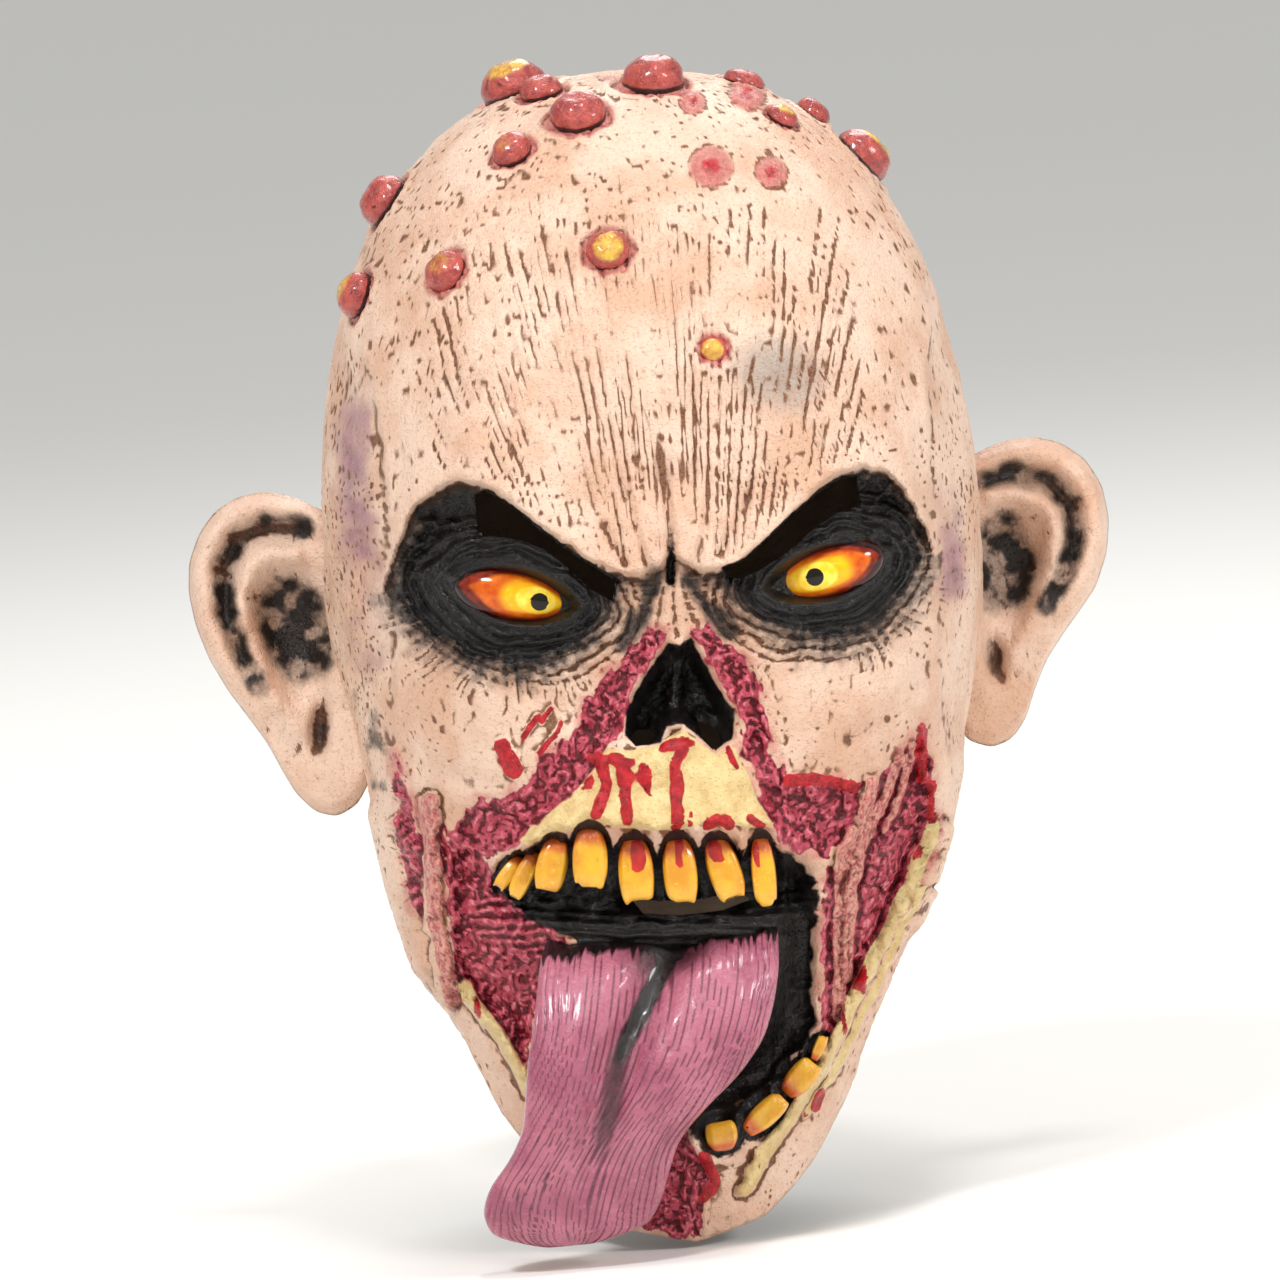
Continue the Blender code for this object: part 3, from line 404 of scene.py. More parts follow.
    # lower lip: a dark wrinkled roll under the biting line, then the drop to the root of the tongue
    lip, _ = lineGap(x, y, [(-54, -84), (-42, -88), (-24, -91), (-2, -92), (14, -92), (32, -90), (42, -86)])
    lift += 5.0 * bell(lip, 5.2)
    lipWrinkle = np.cos(2 * math.pi * (y + 0.09 * x) / 3.0 + 1.9 * noise(flat / 8, 57) + 0.7 * noise(flat / 3, 58))
    lift += 0.85 * lipWrinkle * (1 - smooth(lip, 6, 10))
    lift -= 7.0 * np.exp(-(ellipseShare(x, y, -4, -112, 40, 15) ** 4))
    mouth = patchGap(rx, ry, mouthDark)
    lift -= 2.2 * smooth(-mouth, -1, 3)
    corner, _ = lineGap(x, y, [(38, -80), (40, -100), (36, -122), (26, -138), (10, -145)])
    lift -= 8.5 * bell(corner, 7.0)
    lift += 1.0 * crests(flat / (8, 4.5, 1), 61) * smooth(-mouth, 0, 4)

    # lower jaw: gum round the teeth
    jaw, _ = lineGap(x, y, [(2, -160), (12, -160), (24, -155), (36, -144), (45, -132)])
    lift += 7.6 * bell(jaw, 6.0)

    # torn places: flesh lies lower than the skin, which ends in a lifted ragged lip
    warp = np.stack([x + 2.2 * noise(flat / 5, 75) + 0.7 * noise(flat / 2, 78), y + 2.2 * noise(flat / 5, 76) + 0.7 * noise(flat / 2, 79), 0 * x], -1)
    lump, lumpId = blobs(warp / (3.6, 5.0, 1), 71, 0.30, 0.85, True)
    beads, beadId = blobs(warp / 2.0, 73, 0.25, 0.75, True)
    fleshBumps = 2.0 * np.sqrt(np.clip(1 - lump**2, 0, 1)) * (0.3 + 0.7 * lumpId) + 0.9 * np.sqrt(np.clip(1 - beads**2, 0, 1)) * (0.3 + 0.7 * beadId) + 0.8 * layered(flat / 9, 2, 77)
    anyFlesh = np.zeros(len(x))
    fray = 2.4 * layered(flat / (2.3, 4.2, 1), 3, 123)
    for name, corners in meat.items():
        gap = patchGap(rx, ry, corners) + fray
        deep = {"cheekLeft": 7.0, "cheekRight": 7.0, "chin": 1.5, "stripLeft": 1.0}.get(name, 2.2)
        inside = smooth(-gap, -0.5, 2.2)
        outside = smooth(gap, -0.6, 0.4) * (1 - smooth(gap, 0.8, 4.5))
        lift += -deep * smooth(-gap, -0.4, 5.5) + 0.7 * outside * (1 - smooth(-pit, -3, 0))
        anyFlesh = np.maximum(anyFlesh, inside)
    lift += fleshBumps * anyFlesh
    for line, half, rise, _ in strands:
        gap, along = lineGap(rx, ry, line)
        round_ = np.sqrt(np.clip(1 - (gap / half) ** 2, 0, 1))
        lift += rise * round_ * (1 + 0.18 * np.cos(along * 60)) * (1 - 0.25 * anyFlesh)
        lift -= 1.3 * bell(gap - half - 0.8, 0.9)
    for line, half in redDrips:
        gap, along = lineGap(x, y, line)
        lift += 0.9 * np.sqrt(np.clip(1 - (gap / half) ** 2, 0, 1))

    # strips of the temples that step down beside the face
    for line, outer in (([(-84, 100), (-80, 80), (-79, 50), (-79, 10), (-83, -20), (-86, -45)], -1), ([(98, 100), (94, 75), (92, 45), (92, 10), (90, -20)], 1)):
        gap, _ = lineGap(x, y, line)
        lineX = np.interp(y, [p[1] for p in reversed(line)], [p[0] for p in reversed(line)])
        outside = smooth((rx - lineX) * outer, -0.8, 1.5)
        fade = smooth(y, -52, -30) * (1 - smooth(y, 84, 112))
        lift += (-3.2 * outside * (1 - smooth((x - lineX) * outer, 8, 24)) + 1.0 * bell(gap, 1.6)) * fade

    # jaw folds under the cheeks, and the flaps of skin beside the torn places
    for line, rise, wide in (([(-92, -50), (-88, -75), (-80, -98)], 4.0, 6), ([(90, -45), (85, -72), (77, -95)], 3.6, 6), ([(-85, -52), (-80, -62), (-72, -66)], 1.5, 2), ([(-88, -20), (-74, -36), (-60, -40)], -1.6, 3), ([(88, -14), (74, -30), (60, -36)], -1.6, 3)):
        gap, _ = lineGap(x, y, line)
        lift += rise * bell(gap, wide)

    return lift * front, front


# The leather of the whole head: creases, dents and pits, finer than the forms above.
def skinGrain(points, x, y, front):
    flat = np.stack([x, y, np.zeros(len(x))], -1)
    grain = 0.55 * layered(points / 13, 3, 81) + 0.30 * np.minimum(layered(points / 4.2, 3, 83), 0.25)
    grain -= 0.30 * smooth(crests(points / (6, 6, 8), 85), 0.50, 1.0)
    for px, py, radius in pitSpots:
        away = np.hypot(x - px, y - py)
        dents, _ = blobs(points / 3.1, 87, 0.25, 0.5)
        grain -= (1.0 * bell(away, radius * 0.5) + 1.4 * np.sqrt(np.clip(1 - dents**2, 0, 1)) * bell(away, radius)) * front
    small, _ = blobs(points / 2.5, 89, 0.14, 0.46)
    temple = smooth(np.abs(x - 4), 58, 84) * smooth(y, -60, -20)
    cheeks = np.exp(-(ellipseShare(x, y, -52, -17, 24, 15) ** 4)) + np.exp(-(ellipseShare(x, y, 62, -17, 26, 17) ** 4))
    patchy = np.clip(smooth(layered(points / 21, 2, 91), -0.30, 0.40) + 0.7 * temple + 0.5 * smooth(y, 110, 150) - 0.8 * cheeks * front, 0, 1.25)
    larger, _ = blobs(points / 7.5, 93, 0.10, 0.34)
    grain -= 0.95 * np.sqrt(np.clip(1 - larger**2, 0, 1)) * np.clip(patchy - 0.3, 0, 1)
    grain -= 0.50 * np.sqrt(np.clip(1 - small**2, 0, 1)) * patchy
    for sx, sy, radius in flatSpots:
        share = ellipseShare(x, y, sx, sy, radius, radius)
        grain += front * (1.5 * np.exp(-(share**4)) - 0.9 * bell(share - 1.15, 0.18) - 0.8 * bell(share, 0.45))
    for turn, drop, radius, tall in boilTable:
        middle = headPoint(np.array([math.radians(turn)]), np.array([drop]))[0]
        share = np.linalg.norm(points - middle, axis=1) / (radius * 214)
        swirl = 1 + 0.12 * np.cos(7 * np.arctan2(points[:, 2] - middle[2], points[:, 0] - middle[0]) + radius * 200)
        grain += -1.4 * bell(share / swirl - 1.12, 0.13) + 1.1 * bell(share / swirl - 1.42, 0.20)
    return grain


def clearSelection():
    if bpy.context.object and bpy.context.object.mode != "OBJECT":
        bpy.ops.object.mode_set(mode="OBJECT")
    bpy.ops.object.select_all(action="DESELECT")


# A closed ball with so many points around and rings, and which ring and turn each of its points is on.
def addBall(name, around, rings):
    clearSelection()
    bpy.ops.mesh.primitive_uv_sphere_add(segments=around, ring_count=rings, radius=1)
    ball = bpy.context.object
    ball.name = ball.data.name = name
    raw = np.empty(len(ball.data.vertices) * 3, np.float32)
    ball.data.vertices.foreach_get("co", raw)
    raw = raw.reshape(-1, 3).astype(float)
    ring = np.rint(np.arctan2(np.hypot(raw[:, 0], raw[:, 1]), raw[:, 2]) / math.pi * rings).astype(int)
    turn = np.rint(np.arctan2(raw[:, 1], raw[:, 0]) / (2 * math.pi) * around).astype(int) % around
    return ball, ring, turn


# Moves the ball's points: rows run from the first pole to the last, in millimetres, and the poles come apart.
def wrapBall(ball, ring, turn, rows, first, last):
    points = np.empty((len(ring), 3))
    inner = (ring > 0) & (ring <= len(rows))
    points[inner] = rows[ring[inner] - 1, turn[inner]]
    points[ring == 0] = first
    points[ring > len(rows)] = last
    setPoints(ball, points)


def setPoints(piece, points):
    piece.data.vertices.foreach_set("co", (np.asarray(points) / 1000).astype(np.float32).ravel())
    piece.data.update()


def getPoints(piece):
    raw = np.empty(len(piece.data.vertices) * 3, np.float32)
    piece.data.vertices.foreach_get("co", raw)
    return raw.reshape(-1, 3).astype(float) * 1000


def getNormals(piece):
    raw = np.empty(len(piece.data.vertices) * 3, np.float32)
    piece.data.vertex_normals.foreach_get("vector", raw)
    return raw.reshape(-1, 3).astype(float)


def setMask(piece, name, values):
    found = piece.data.attributes.get(name) or piece.data.attributes.new(name, "FLOAT", "POINT")
    found.data.foreach_set("value", np.asarray(values, np.float32))


# how far each point lies under (above 0) or over (below 0) the smoothed shape, in millimetres
def hollowness(piece, passes):
    points, normals = getPoints(piece), getNormals(piece)
    ends = np.empty(len(piece.data.edges) * 2, np.int32)
    piece.data.edges.foreach_get("vertices", ends)
    a, b = ends.reshape(-1, 2).T
    count = np.maximum(np.bincount(a, minlength=len(points)) + np.bincount(b, minlength=len(points)), 1)
    soft = points.copy()
    found = []
    for n in range(max(passes)):
        total = np.stack([np.bincount(a, soft[b, i], len(points)) + np.bincount(b, soft[a, i], len(points)) for i in range(3)], -1)
        soft = soft * 0.4 + total / count[:, None] * 0.6
        if n + 1 in passes:
            found.append(((soft - points) * normals).sum(axis=1))
    return found


def applyModifier(piece, kind, **settings):
    clearSelection()
    piece.select_set(True)
    bpy.context.view_layer.objects.active = piece
    step = piece.modifiers.new(kind.lower(), kind)
    for name, value in settings.items():
        setattr(step, name, value)
    bpy.ops.object.modifier_apply(modifier=step.name)


def subtract(piece, cutter):
    before = len(piece.data.vertices)
    copy = piece.data.copy()
    applyModifier(piece, "BOOLEAN", object=cutter, operation="DIFFERENCE", solver="MANIFOLD", material_mode="TRANSFER")
    if len(piece.data.vertices) < 100 or len(piece.data.vertices) == before:
        piece.data = copy
        applyModifier(piece, "BOOLEAN", object=cutter, operation="DIFFERENCE", solver="EXACT", material_mode="TRANSFER")
        print("cut the slower way:", cutter.name)


def forget(piece):
    mesh = piece.data
    bpy.data.objects.remove(piece, do_unlink=True)
    bpy.data.meshes.remove(mesh)


def smoothFaces(piece):
    piece.data.polygons.foreach_set("use_smooth", np.ones(len(piece.data.polygons), bool))
    piece.data.update()


def hexColour(text):
    parts = [int(text[n : n + 2], 16) / 255 for n in (0, 2, 4)]
    return tuple(c / 12.92 if c <= 0.04045 else ((c + 0.055) / 1.055) ** 2.4 for c in parts) + (1.0,)


def addNode(tree, kind, settings=None, values=None, links=None):
    node = tree.nodes.new(kind)
    node.location = (260 * (len(tree.nodes) % 7) - 1800, 220 * (len(tree.nodes) // 7) - 600)
    for name, value in (settings or {}).items():
        setattr(node, name, value)
    for socket, value in (values or {}).items():
        node.inputs[socket].default_value = value
    for socket, source in (links or {}).items():
        tree.links.new(source, node.inputs[socket])
    return node


def newMaterial(name):
    made = bpy.data.materials.new(name)
    made.use_nodes = True
    made.node_tree.nodes.clear()
    return made, made.node_tree


# Builds one painted finish: a ground colour with grain, then coats that masks lay over it.
# coat: mask, grain size per metre, grain strength, from, to, light colour, dark colour, roughness
def paintFinish(name, look):
    made, tree = newMaterial(name)
    place = addNode(tree, "ShaderNodeTexCoord").outputs["Object"]
    broad = addNode(tree, "ShaderNodeTexNoise", values={"Scale": look["broad"], "Detail": 4.0, "Roughness": 0.55}, links={"Vector": place}).outputs["Factor" if False else 0]
    fine = addNode(tree, "ShaderNodeTexNoise", values={"Scale": look["fine"], "Detail": 5.0, "Roughness": 0.62}, links={"Vector": place}).outputs[0]
    tone = addNode(tree, "ShaderNodeMapRange", {"interpolation_type": "SMOOTHSTEP"}, {"From Min": 0.36, "From Max": 0.66}, {"Value": broad}).outputs[0]
    ground = addNode(tree, "ShaderNodeMix", {"data_type": "RGBA"}, {6: hexColour(look["light"]), 7: hexColour(look["mid"])}, {0: tone}).outputs[2]
    speck = addNode(tree, "ShaderNodeMapRange", {"interpolation_type": "SMOOTHSTEP"}, {"From Min": 0.56, "From Max": 0.72, "To Max": look["speckle"]}, {"Value": fine}).outputs[0]
    ground = addNode(tree, "ShaderNodeMix", {"data_type": "RGBA"}, {7: hexColour(look["speck"])}, {0: speck, 6: ground}).outputs[2]
    rough = addNode(tree, "ShaderNodeMapRange", values={"From Min": 0.3, "From Max": 0.7, "To Min": look["rough"] - 0.07, "To Max": look["rough"] + 0.09}, links={"Value": fine}).outputs[0]
    for mask, size, strength, low, high, light, dark, gloss in look["coats"]:
        source = addNode(tree, "ShaderNodeAttribute", {"attribute_name": mask}).outputs["Fac"]
        grain = addNode(tree, "ShaderNodeTexNoise", values={"Scale": size, "Detail": 5.0, "Roughness": 0.65}, links={"Vector": place}).outputs[0]
        shift = addNode(tree, "ShaderNodeMath", {"operation": "MULTIPLY_ADD"}, {1: strength, 2: -strength / 2}, {0: grain}).outputs[0]
        edge = addNode(tree, "ShaderNodeMath", {"operation": "ADD"}, links={0: source, 1: shift}).outputs[0]
        cover = addNode(tree, "ShaderNodeMapRange", {"interpolation_type": "SMOOTHSTEP"}, {"From Min": low, "From Max": high}, {"Value": edge}).outputs[0]
        grainTone = addNode(tree, "ShaderNodeMapRange", values={"From Min": 0.38, "From Max": 0.62}, links={"Value": grain}).outputs[0]
        paint = addNode(tree, "ShaderNodeMix", {"data_type": "RGBA"}, {6: hexColour(dark), 7: hexColour(light)}, {0: grainTone}).outputs[2]
        ground = addNode(tree, "ShaderNodeMix", {"data_type": "RGBA"}, links={0: cover, 6: ground, 7: paint}).outputs[2]
        rough = addNode(tree, "ShaderNodeMix", {"data_type": "FLOAT"}, {3: gloss}, {0: cover, 2: rough}).outputs[0]
    height = fine
    for kind, scale, depth, squeeze in look["bumps"]:
        stretched = addNode(tree, "ShaderNodeMapping", values={"Scale": squeeze}, links={"Vector": place}).outputs[0]
        if kind == "pores":
            cell = addNode(tree, "ShaderNodeTexVoronoi", values={"Scale": scale, "Randomness": 1.0}, links={"Vector": stretched}).outputs[0]
            cell = addNode(tree, "ShaderNodeMapRange", {"interpolation_type": "SMOOTHSTEP"}, {"From Min": 0.05, "From Max": 0.40}, {"Value": cell}).outputs[0]
        else:
            cell = addNode(tree, "ShaderNodeTexNoise", {"noise_type": "RIDGED_MULTIFRACTAL" if kind == "creases" else "FBM"}, {"Scale": scale, "Detail": 4.0}, {"Vector": stretched}).outputs[0]
        height = addNode(tree, "ShaderNodeMath", {"operation": "MULTIPLY_ADD"}, {1: depth}, {0: cell, 2: height}).outputs[0]
    bump = addNode(tree, "ShaderNodeBump", values={"Strength": look["bump"], "Distance": look["bumpDepth"]}, links={"Height": height}).outputs[0]
    shader = addNode(tree, "ShaderNodeBsdfPrincipled", values=look["shader"], links={"Base Color": ground, "Roughness": rough, "Normal": bump})
    addNode(tree, "ShaderNodeOutputMaterial", links={"Surface": shader.outputs[0]})
    return made


blackCoat = ("black", 600.0, 0.45, 0.36, 0.74, "1C1715", "060505", 0.13)
skinLook = {
    "light": "E4C4AE", "mid": "D3A88D", "speck": "A87A5C", "speckle": 0.50, "broad": 34.0, "fine": 620.0, "rough": 0.36, "bump": 0.6, "bumpDepth": 0.0012,
    "coats": [
        ("shade", 90.0, 0.40, 0.10, 1.30, "A37258", "6E4836", 0.38),  # painted shade: soft brown in the broad hollows round the big forms
        ("plum", 180.0, 0.80, 0.25, 1.15, "B08088", "7A5060", 0.40),  # bruise on the temples
        ("grey", 300.0, 0.50, 0.30, 1.10, "9A928A", "6A6460", 0.46),  # grey sprayed over the brow
        ("hollow", 1500.0, 0.90, 0.36, 1.00, "8E6244", "5A3522", 0.40),  # darker brown in the fine creases: the mask's own brown paint there, deepened as painted shade
        ("deep", 900.0, 0.90, 0.45, 1.35, "8A5C40", "4E2E20", 0.42),  # painted shade: darker brown in the broad hollows
        ("olive", 500.0, 0.90, 0.40, 1.00, "5A4636", "2A1F18", 0.38),  # dark rot below the ear and in its folds
        ("pink", 520.0, 0.90, 0.35, 1.10, "CF8277", "A84C48", 0.34),  # sore halo round boils and wounds
        ("soot", 700.0, 0.55, 0.18, 1.02, "2E2420", "14100E", 0.30),  # black sprayed thin at the edge of the sockets; on the ears it is painted shade in their hollows
        ("bone", 170.0, 0.22, 0.40, 0.62, "E0C890", "CFAE76", 0.28),  # cream bone with yellow stain
        ("meat", 260.0, 0.60, 0.35, 0.72, "B8475A", "86182A", 0.12),  # wet raw flesh
        ("pale", 500.0, 0.60, 0.40, 0.72, "D9A08C", "A8474A", 0.20),  # tendon over the flesh
        ("fleshShade", 900.0, 0.50, 0.30, 0.80, "6E0F1C", "3A060C", 0.10),  # painted shade: dark red between the lumps of flesh
        ("fleshHighlight", 500.0, 0.60, 0.45, 1.15, "D8808A", "C23A4C", 0.10),  # painted highlight: paler tops of the lumps of flesh
        ("blood", 400.0, 0.40, 0.40, 0.66, "C01C26", "840C14", 0.10),  # run blood
        blackCoat,  # glossy black in sockets, nose and mouth
    ],
    "bumps": [("pores", 900.0, 0.55, (1, 1, 1)), ("creases", 150.0, 0.60, (1, 1, 1)), ("grain", 2400.0, 0.25, (1, 1, 1))],
    "shader": {"IOR": 1.37, "Subsurface Weight": 0.05, "Subsurface Scale": 0.003, "Coat Weight": 0.05, "Coat Roughness": 0.12},
}
paintedLatex = paintFinish("Painted latex", skinLook)
# Painted shade: the lining is a dark tan, darker than bare latex, for the inside of the mask, which lies in shadow.
liningLook = dict(skinLook, light="7E6A58", mid="6C5A4A", speck="5A4A3C", rough=0.62, coats=[("black", 420.0, 0.2, 0.42, 0.6, "2A211D", "0B0908", 0.4)],
                  bumps=[("grain", 500.0, 0.5, (1, 1, 1)), ("creases", 60.0, 0.5, (1, 1, 1))], bump=0.35)
liningInShade = paintFinish("Latex lining in painted shade", liningLook)
# Boil coats: hollow is painted shade in the dents, top is the yellow head, black is painted shade at the foot.
boilLook = dict(skinLook, light="B4493F", mid="8F2E2B", speck="D07A62", speckle=0.6, broad=260.0, fine=700.0, rough=0.26, bump=0.45,
                coats=[("hollow", 700.0, 0.2, 0.15, 0.7, "6E1A1B", "4A0E10", 0.22), ("top", 300.0, 0.45, 0.35, 0.95, "E0B23E", "B47A2C", 0.20), ("black", 420.0, 0.2, 0.42, 0.6, "2A0E0E", "120505", 0.2)],
                bumps=[("grain", 900.0, 0.6, (1, 1, 1)), ("pores", 700.0, 0.4, (1, 1, 1))],
                shader={"IOR": 1.45, "Subsurface Weight": 0.12, "Subsurface Scale": 0.003, "Coat Weight": 0.5, "Coat Roughness": 0.12})
boilPaint = paintFinish("Glossy boil paint", boilLook)
report("skin finishes made")


# The skin: a ball wrapped to the head, pushed out and in by the relief, thinned, then hollowed and cut open.
def headRows():
    count = np.arange(head["columns"]) / head["columns"] * 2 * math.pi
    turn = count - 0.55 * np.sin(count)
    edge = np.interp(np.abs(np.degrees((turn + math.pi) % (2 * math.pi) - math.pi)), *hemLine.T)
    ease = np.arange(1, head["domeRows"] + 1) / head["domeRows"] * math.pi / 2
    dome = np.repeat(head["domeEnd"] * (1 - np.cos(ease))[:, None], head["columns"], axis=1)
    step = (np.arange(1, head["lowerRows"] + 1) / head["lowerRows"])[:, None]
    down = np.vstack([dome, head["domeEnd"] + (edge - head["domeEnd"]) * step])
    return np.repeat(turn[None], len(down), axis=0), down


gridTurn, gridDown = headRows()
gridShape = gridTurn.shape
flatTurn, flatDown = gridTurn.ravel(), gridDown.ravel()
basePoints, baseNormals = headPoint(flatTurn, flatDown), headNormal(flatTurn, flatDown)
toward = smooth(baseNormals @ seenBack, 0.15, 0.55)[:, None]
pushWay = baseNormals * (1 - toward) + seenBack * toward
pushWay /= np.linalg.norm(pushWay, axis=1, keepdims=True)
rise, frontShare = faceLift(basePoints, flatTurn, flatDown)
seenX, seenY = seenFrom(basePoints)
for middleX, middleY, radius in ((-113, 5, 42), (117, 5, 42)):  # skin runs up onto the ears
    away = np.hypot(seenX - middleX, (seenY - middleY) * 0.8) + np.abs(basePoints[:, 1] - 12) * 0.9
    rise += 3.0 * np.exp(-((away / (radius * 0.62)) ** 4))
fineRise = skinGrain(basePoints, seenX, seenY, frontShare)
skinPoints = basePoints + pushWay * (rise + fineRise)[:, None]
skinX, skinY = seenFrom(skinPoints)
skinDepth = skinPoints @ seenBack
report("face worked out")

# the sheet of squares is rolled up, its seam and both ends are closed, and it takes the head's shape
clearSelection()
bpy.ops.mesh.primitive_grid_add(x_subdivisions=head["columns"], y_subdivisions=gridShape[0] + 1, size=2)
skin = bpy.context.object
skin.name = skin.data.name = "mask_skin_sculpt"
sheet = getPoints(skin) / 1000
columnAt = np.rint((sheet[:, 0] + 1) / 2 * head["columns"]).astype(int) % head["columns"]
rowAt = np.rint((1 - sheet[:, 1]) / 2 * (gridShape[0] + 1)).astype(int)
wrapBall(skin, rowAt, columnAt, skinPoints.reshape(*gridShape, 3), (0, 0, head["wall"] + float((rise + fineRise)[: head["columns"]].mean())), (0, 0, head["wall"] - 0.770 * head["height"]))
bpy.ops.object.mode_set(mode="EDIT")
bpy.ops.mesh.select_all(action="SELECT")
bpy.ops.mesh.remove_doubles(threshold=1e-7)
bpy.ops.mesh.normals_make_consistent(inside=False)
bpy.ops.object.mode_set(mode="OBJECT")
report(f"sheet rolled up: {len(skin.data.vertices)}")
applyModifier(skin, "DECIMATE", ratio=head["keepTriangles"] / (2 * len(skinPoints)))
skin.data.materials.append(paintedLatex)
report(f"skin thinned to {len(skin.data.polygons)}")

# The lining stays below the lowest relief near each place, so the latex keeps its thickness.
lowRise = (rise + np.minimum(fineRise, 0)).reshape(gridShape)
for step in (1, 2, 4):
    lowRise = np.minimum(np.minimum(np.roll(lowRise, step, 1), np.roll(lowRise, -step, 1)), lowRise)
    shifted = lowRise.copy()
    shifted[step:] = np.minimum(shifted[step:], lowRise[:-step])
    shifted[:-step] = np.minimum(shifted[:-step], lowRise[step:])
    lowRise = shifted
everyRow = np.r_[2 : gridShape[0] : 5, gridShape[0] - 1]
liningRows = (basePoints.reshape(*gridShape, 3) + pushWay.reshape(*gridShape, 3) * (lowRise - head["wall"])[..., None])[everyRow][:, ::5]
liningRows = np.concatenate([liningRows, liningRows[-1:] - (0, 0, 28)])
lining, ring, turnAt = addBall("lining_form", liningRows.shape[1], len(liningRows) + 1)
wrapBall(lining, ring, turnAt, liningRows, (0, 0, 0), (0, 0, head["wall"] - 0.90 * head["height"]))
lining.data.materials.append(liningInShade)
subtract(skin, lining)
forget(lining)


# A bar with this outline, run from the front through the wall, for a hole.
def addBar(name, corners, near=150, far=52):
    corners = np.array(corners, float)
    flat = (corners[:, :1] - view["middleX"]) * seenRight + (corners[:, 1:] - view["middleZ"]) * seenUp
    count = len(corners)
    points = np.vstack([flat + seenBack * near, flat + seenBack * far]) / 1000
    mesh = bpy.data.meshes.new(name)
    sides = [(n, n + count, (n + 1) % count + count, (n + 1) % count) for n in range(count)]
    mesh.from_pydata(points.tolist(), [], [tuple(range(count)), tuple(reversed(range(count, 2 * count))), *sides])
    bar = bpy.data.objects.new(name, mesh)
    bpy.context.scene.collection.objects.link(bar)
    clearSelection()
    bar.select_set(True)
    bpy.context.view_layer.objects.active = bar
    bpy.ops.object.mode_set(mode="EDIT")
    bpy.ops.mesh.select_all(action="SELECT")
    bpy.ops.mesh.normals_make_consistent(inside=False)
    bpy.ops.object.mode_set(mode="OBJECT")
    mesh.materials.append(paintedLatex)
    return bar


for name, corners in {"slit_left": slitShape["left"], "slit_right": slitShape["right"], "nostril_left": nostrils["left"], "nostril_right": nostrils["right"], "mouth": mouthGap}.items():
    bar = addBar(name, corners)
    subtract(skin, bar)
    forget(bar)
report(f"skin hollowed and cut: {len(skin.data.polygons)}")


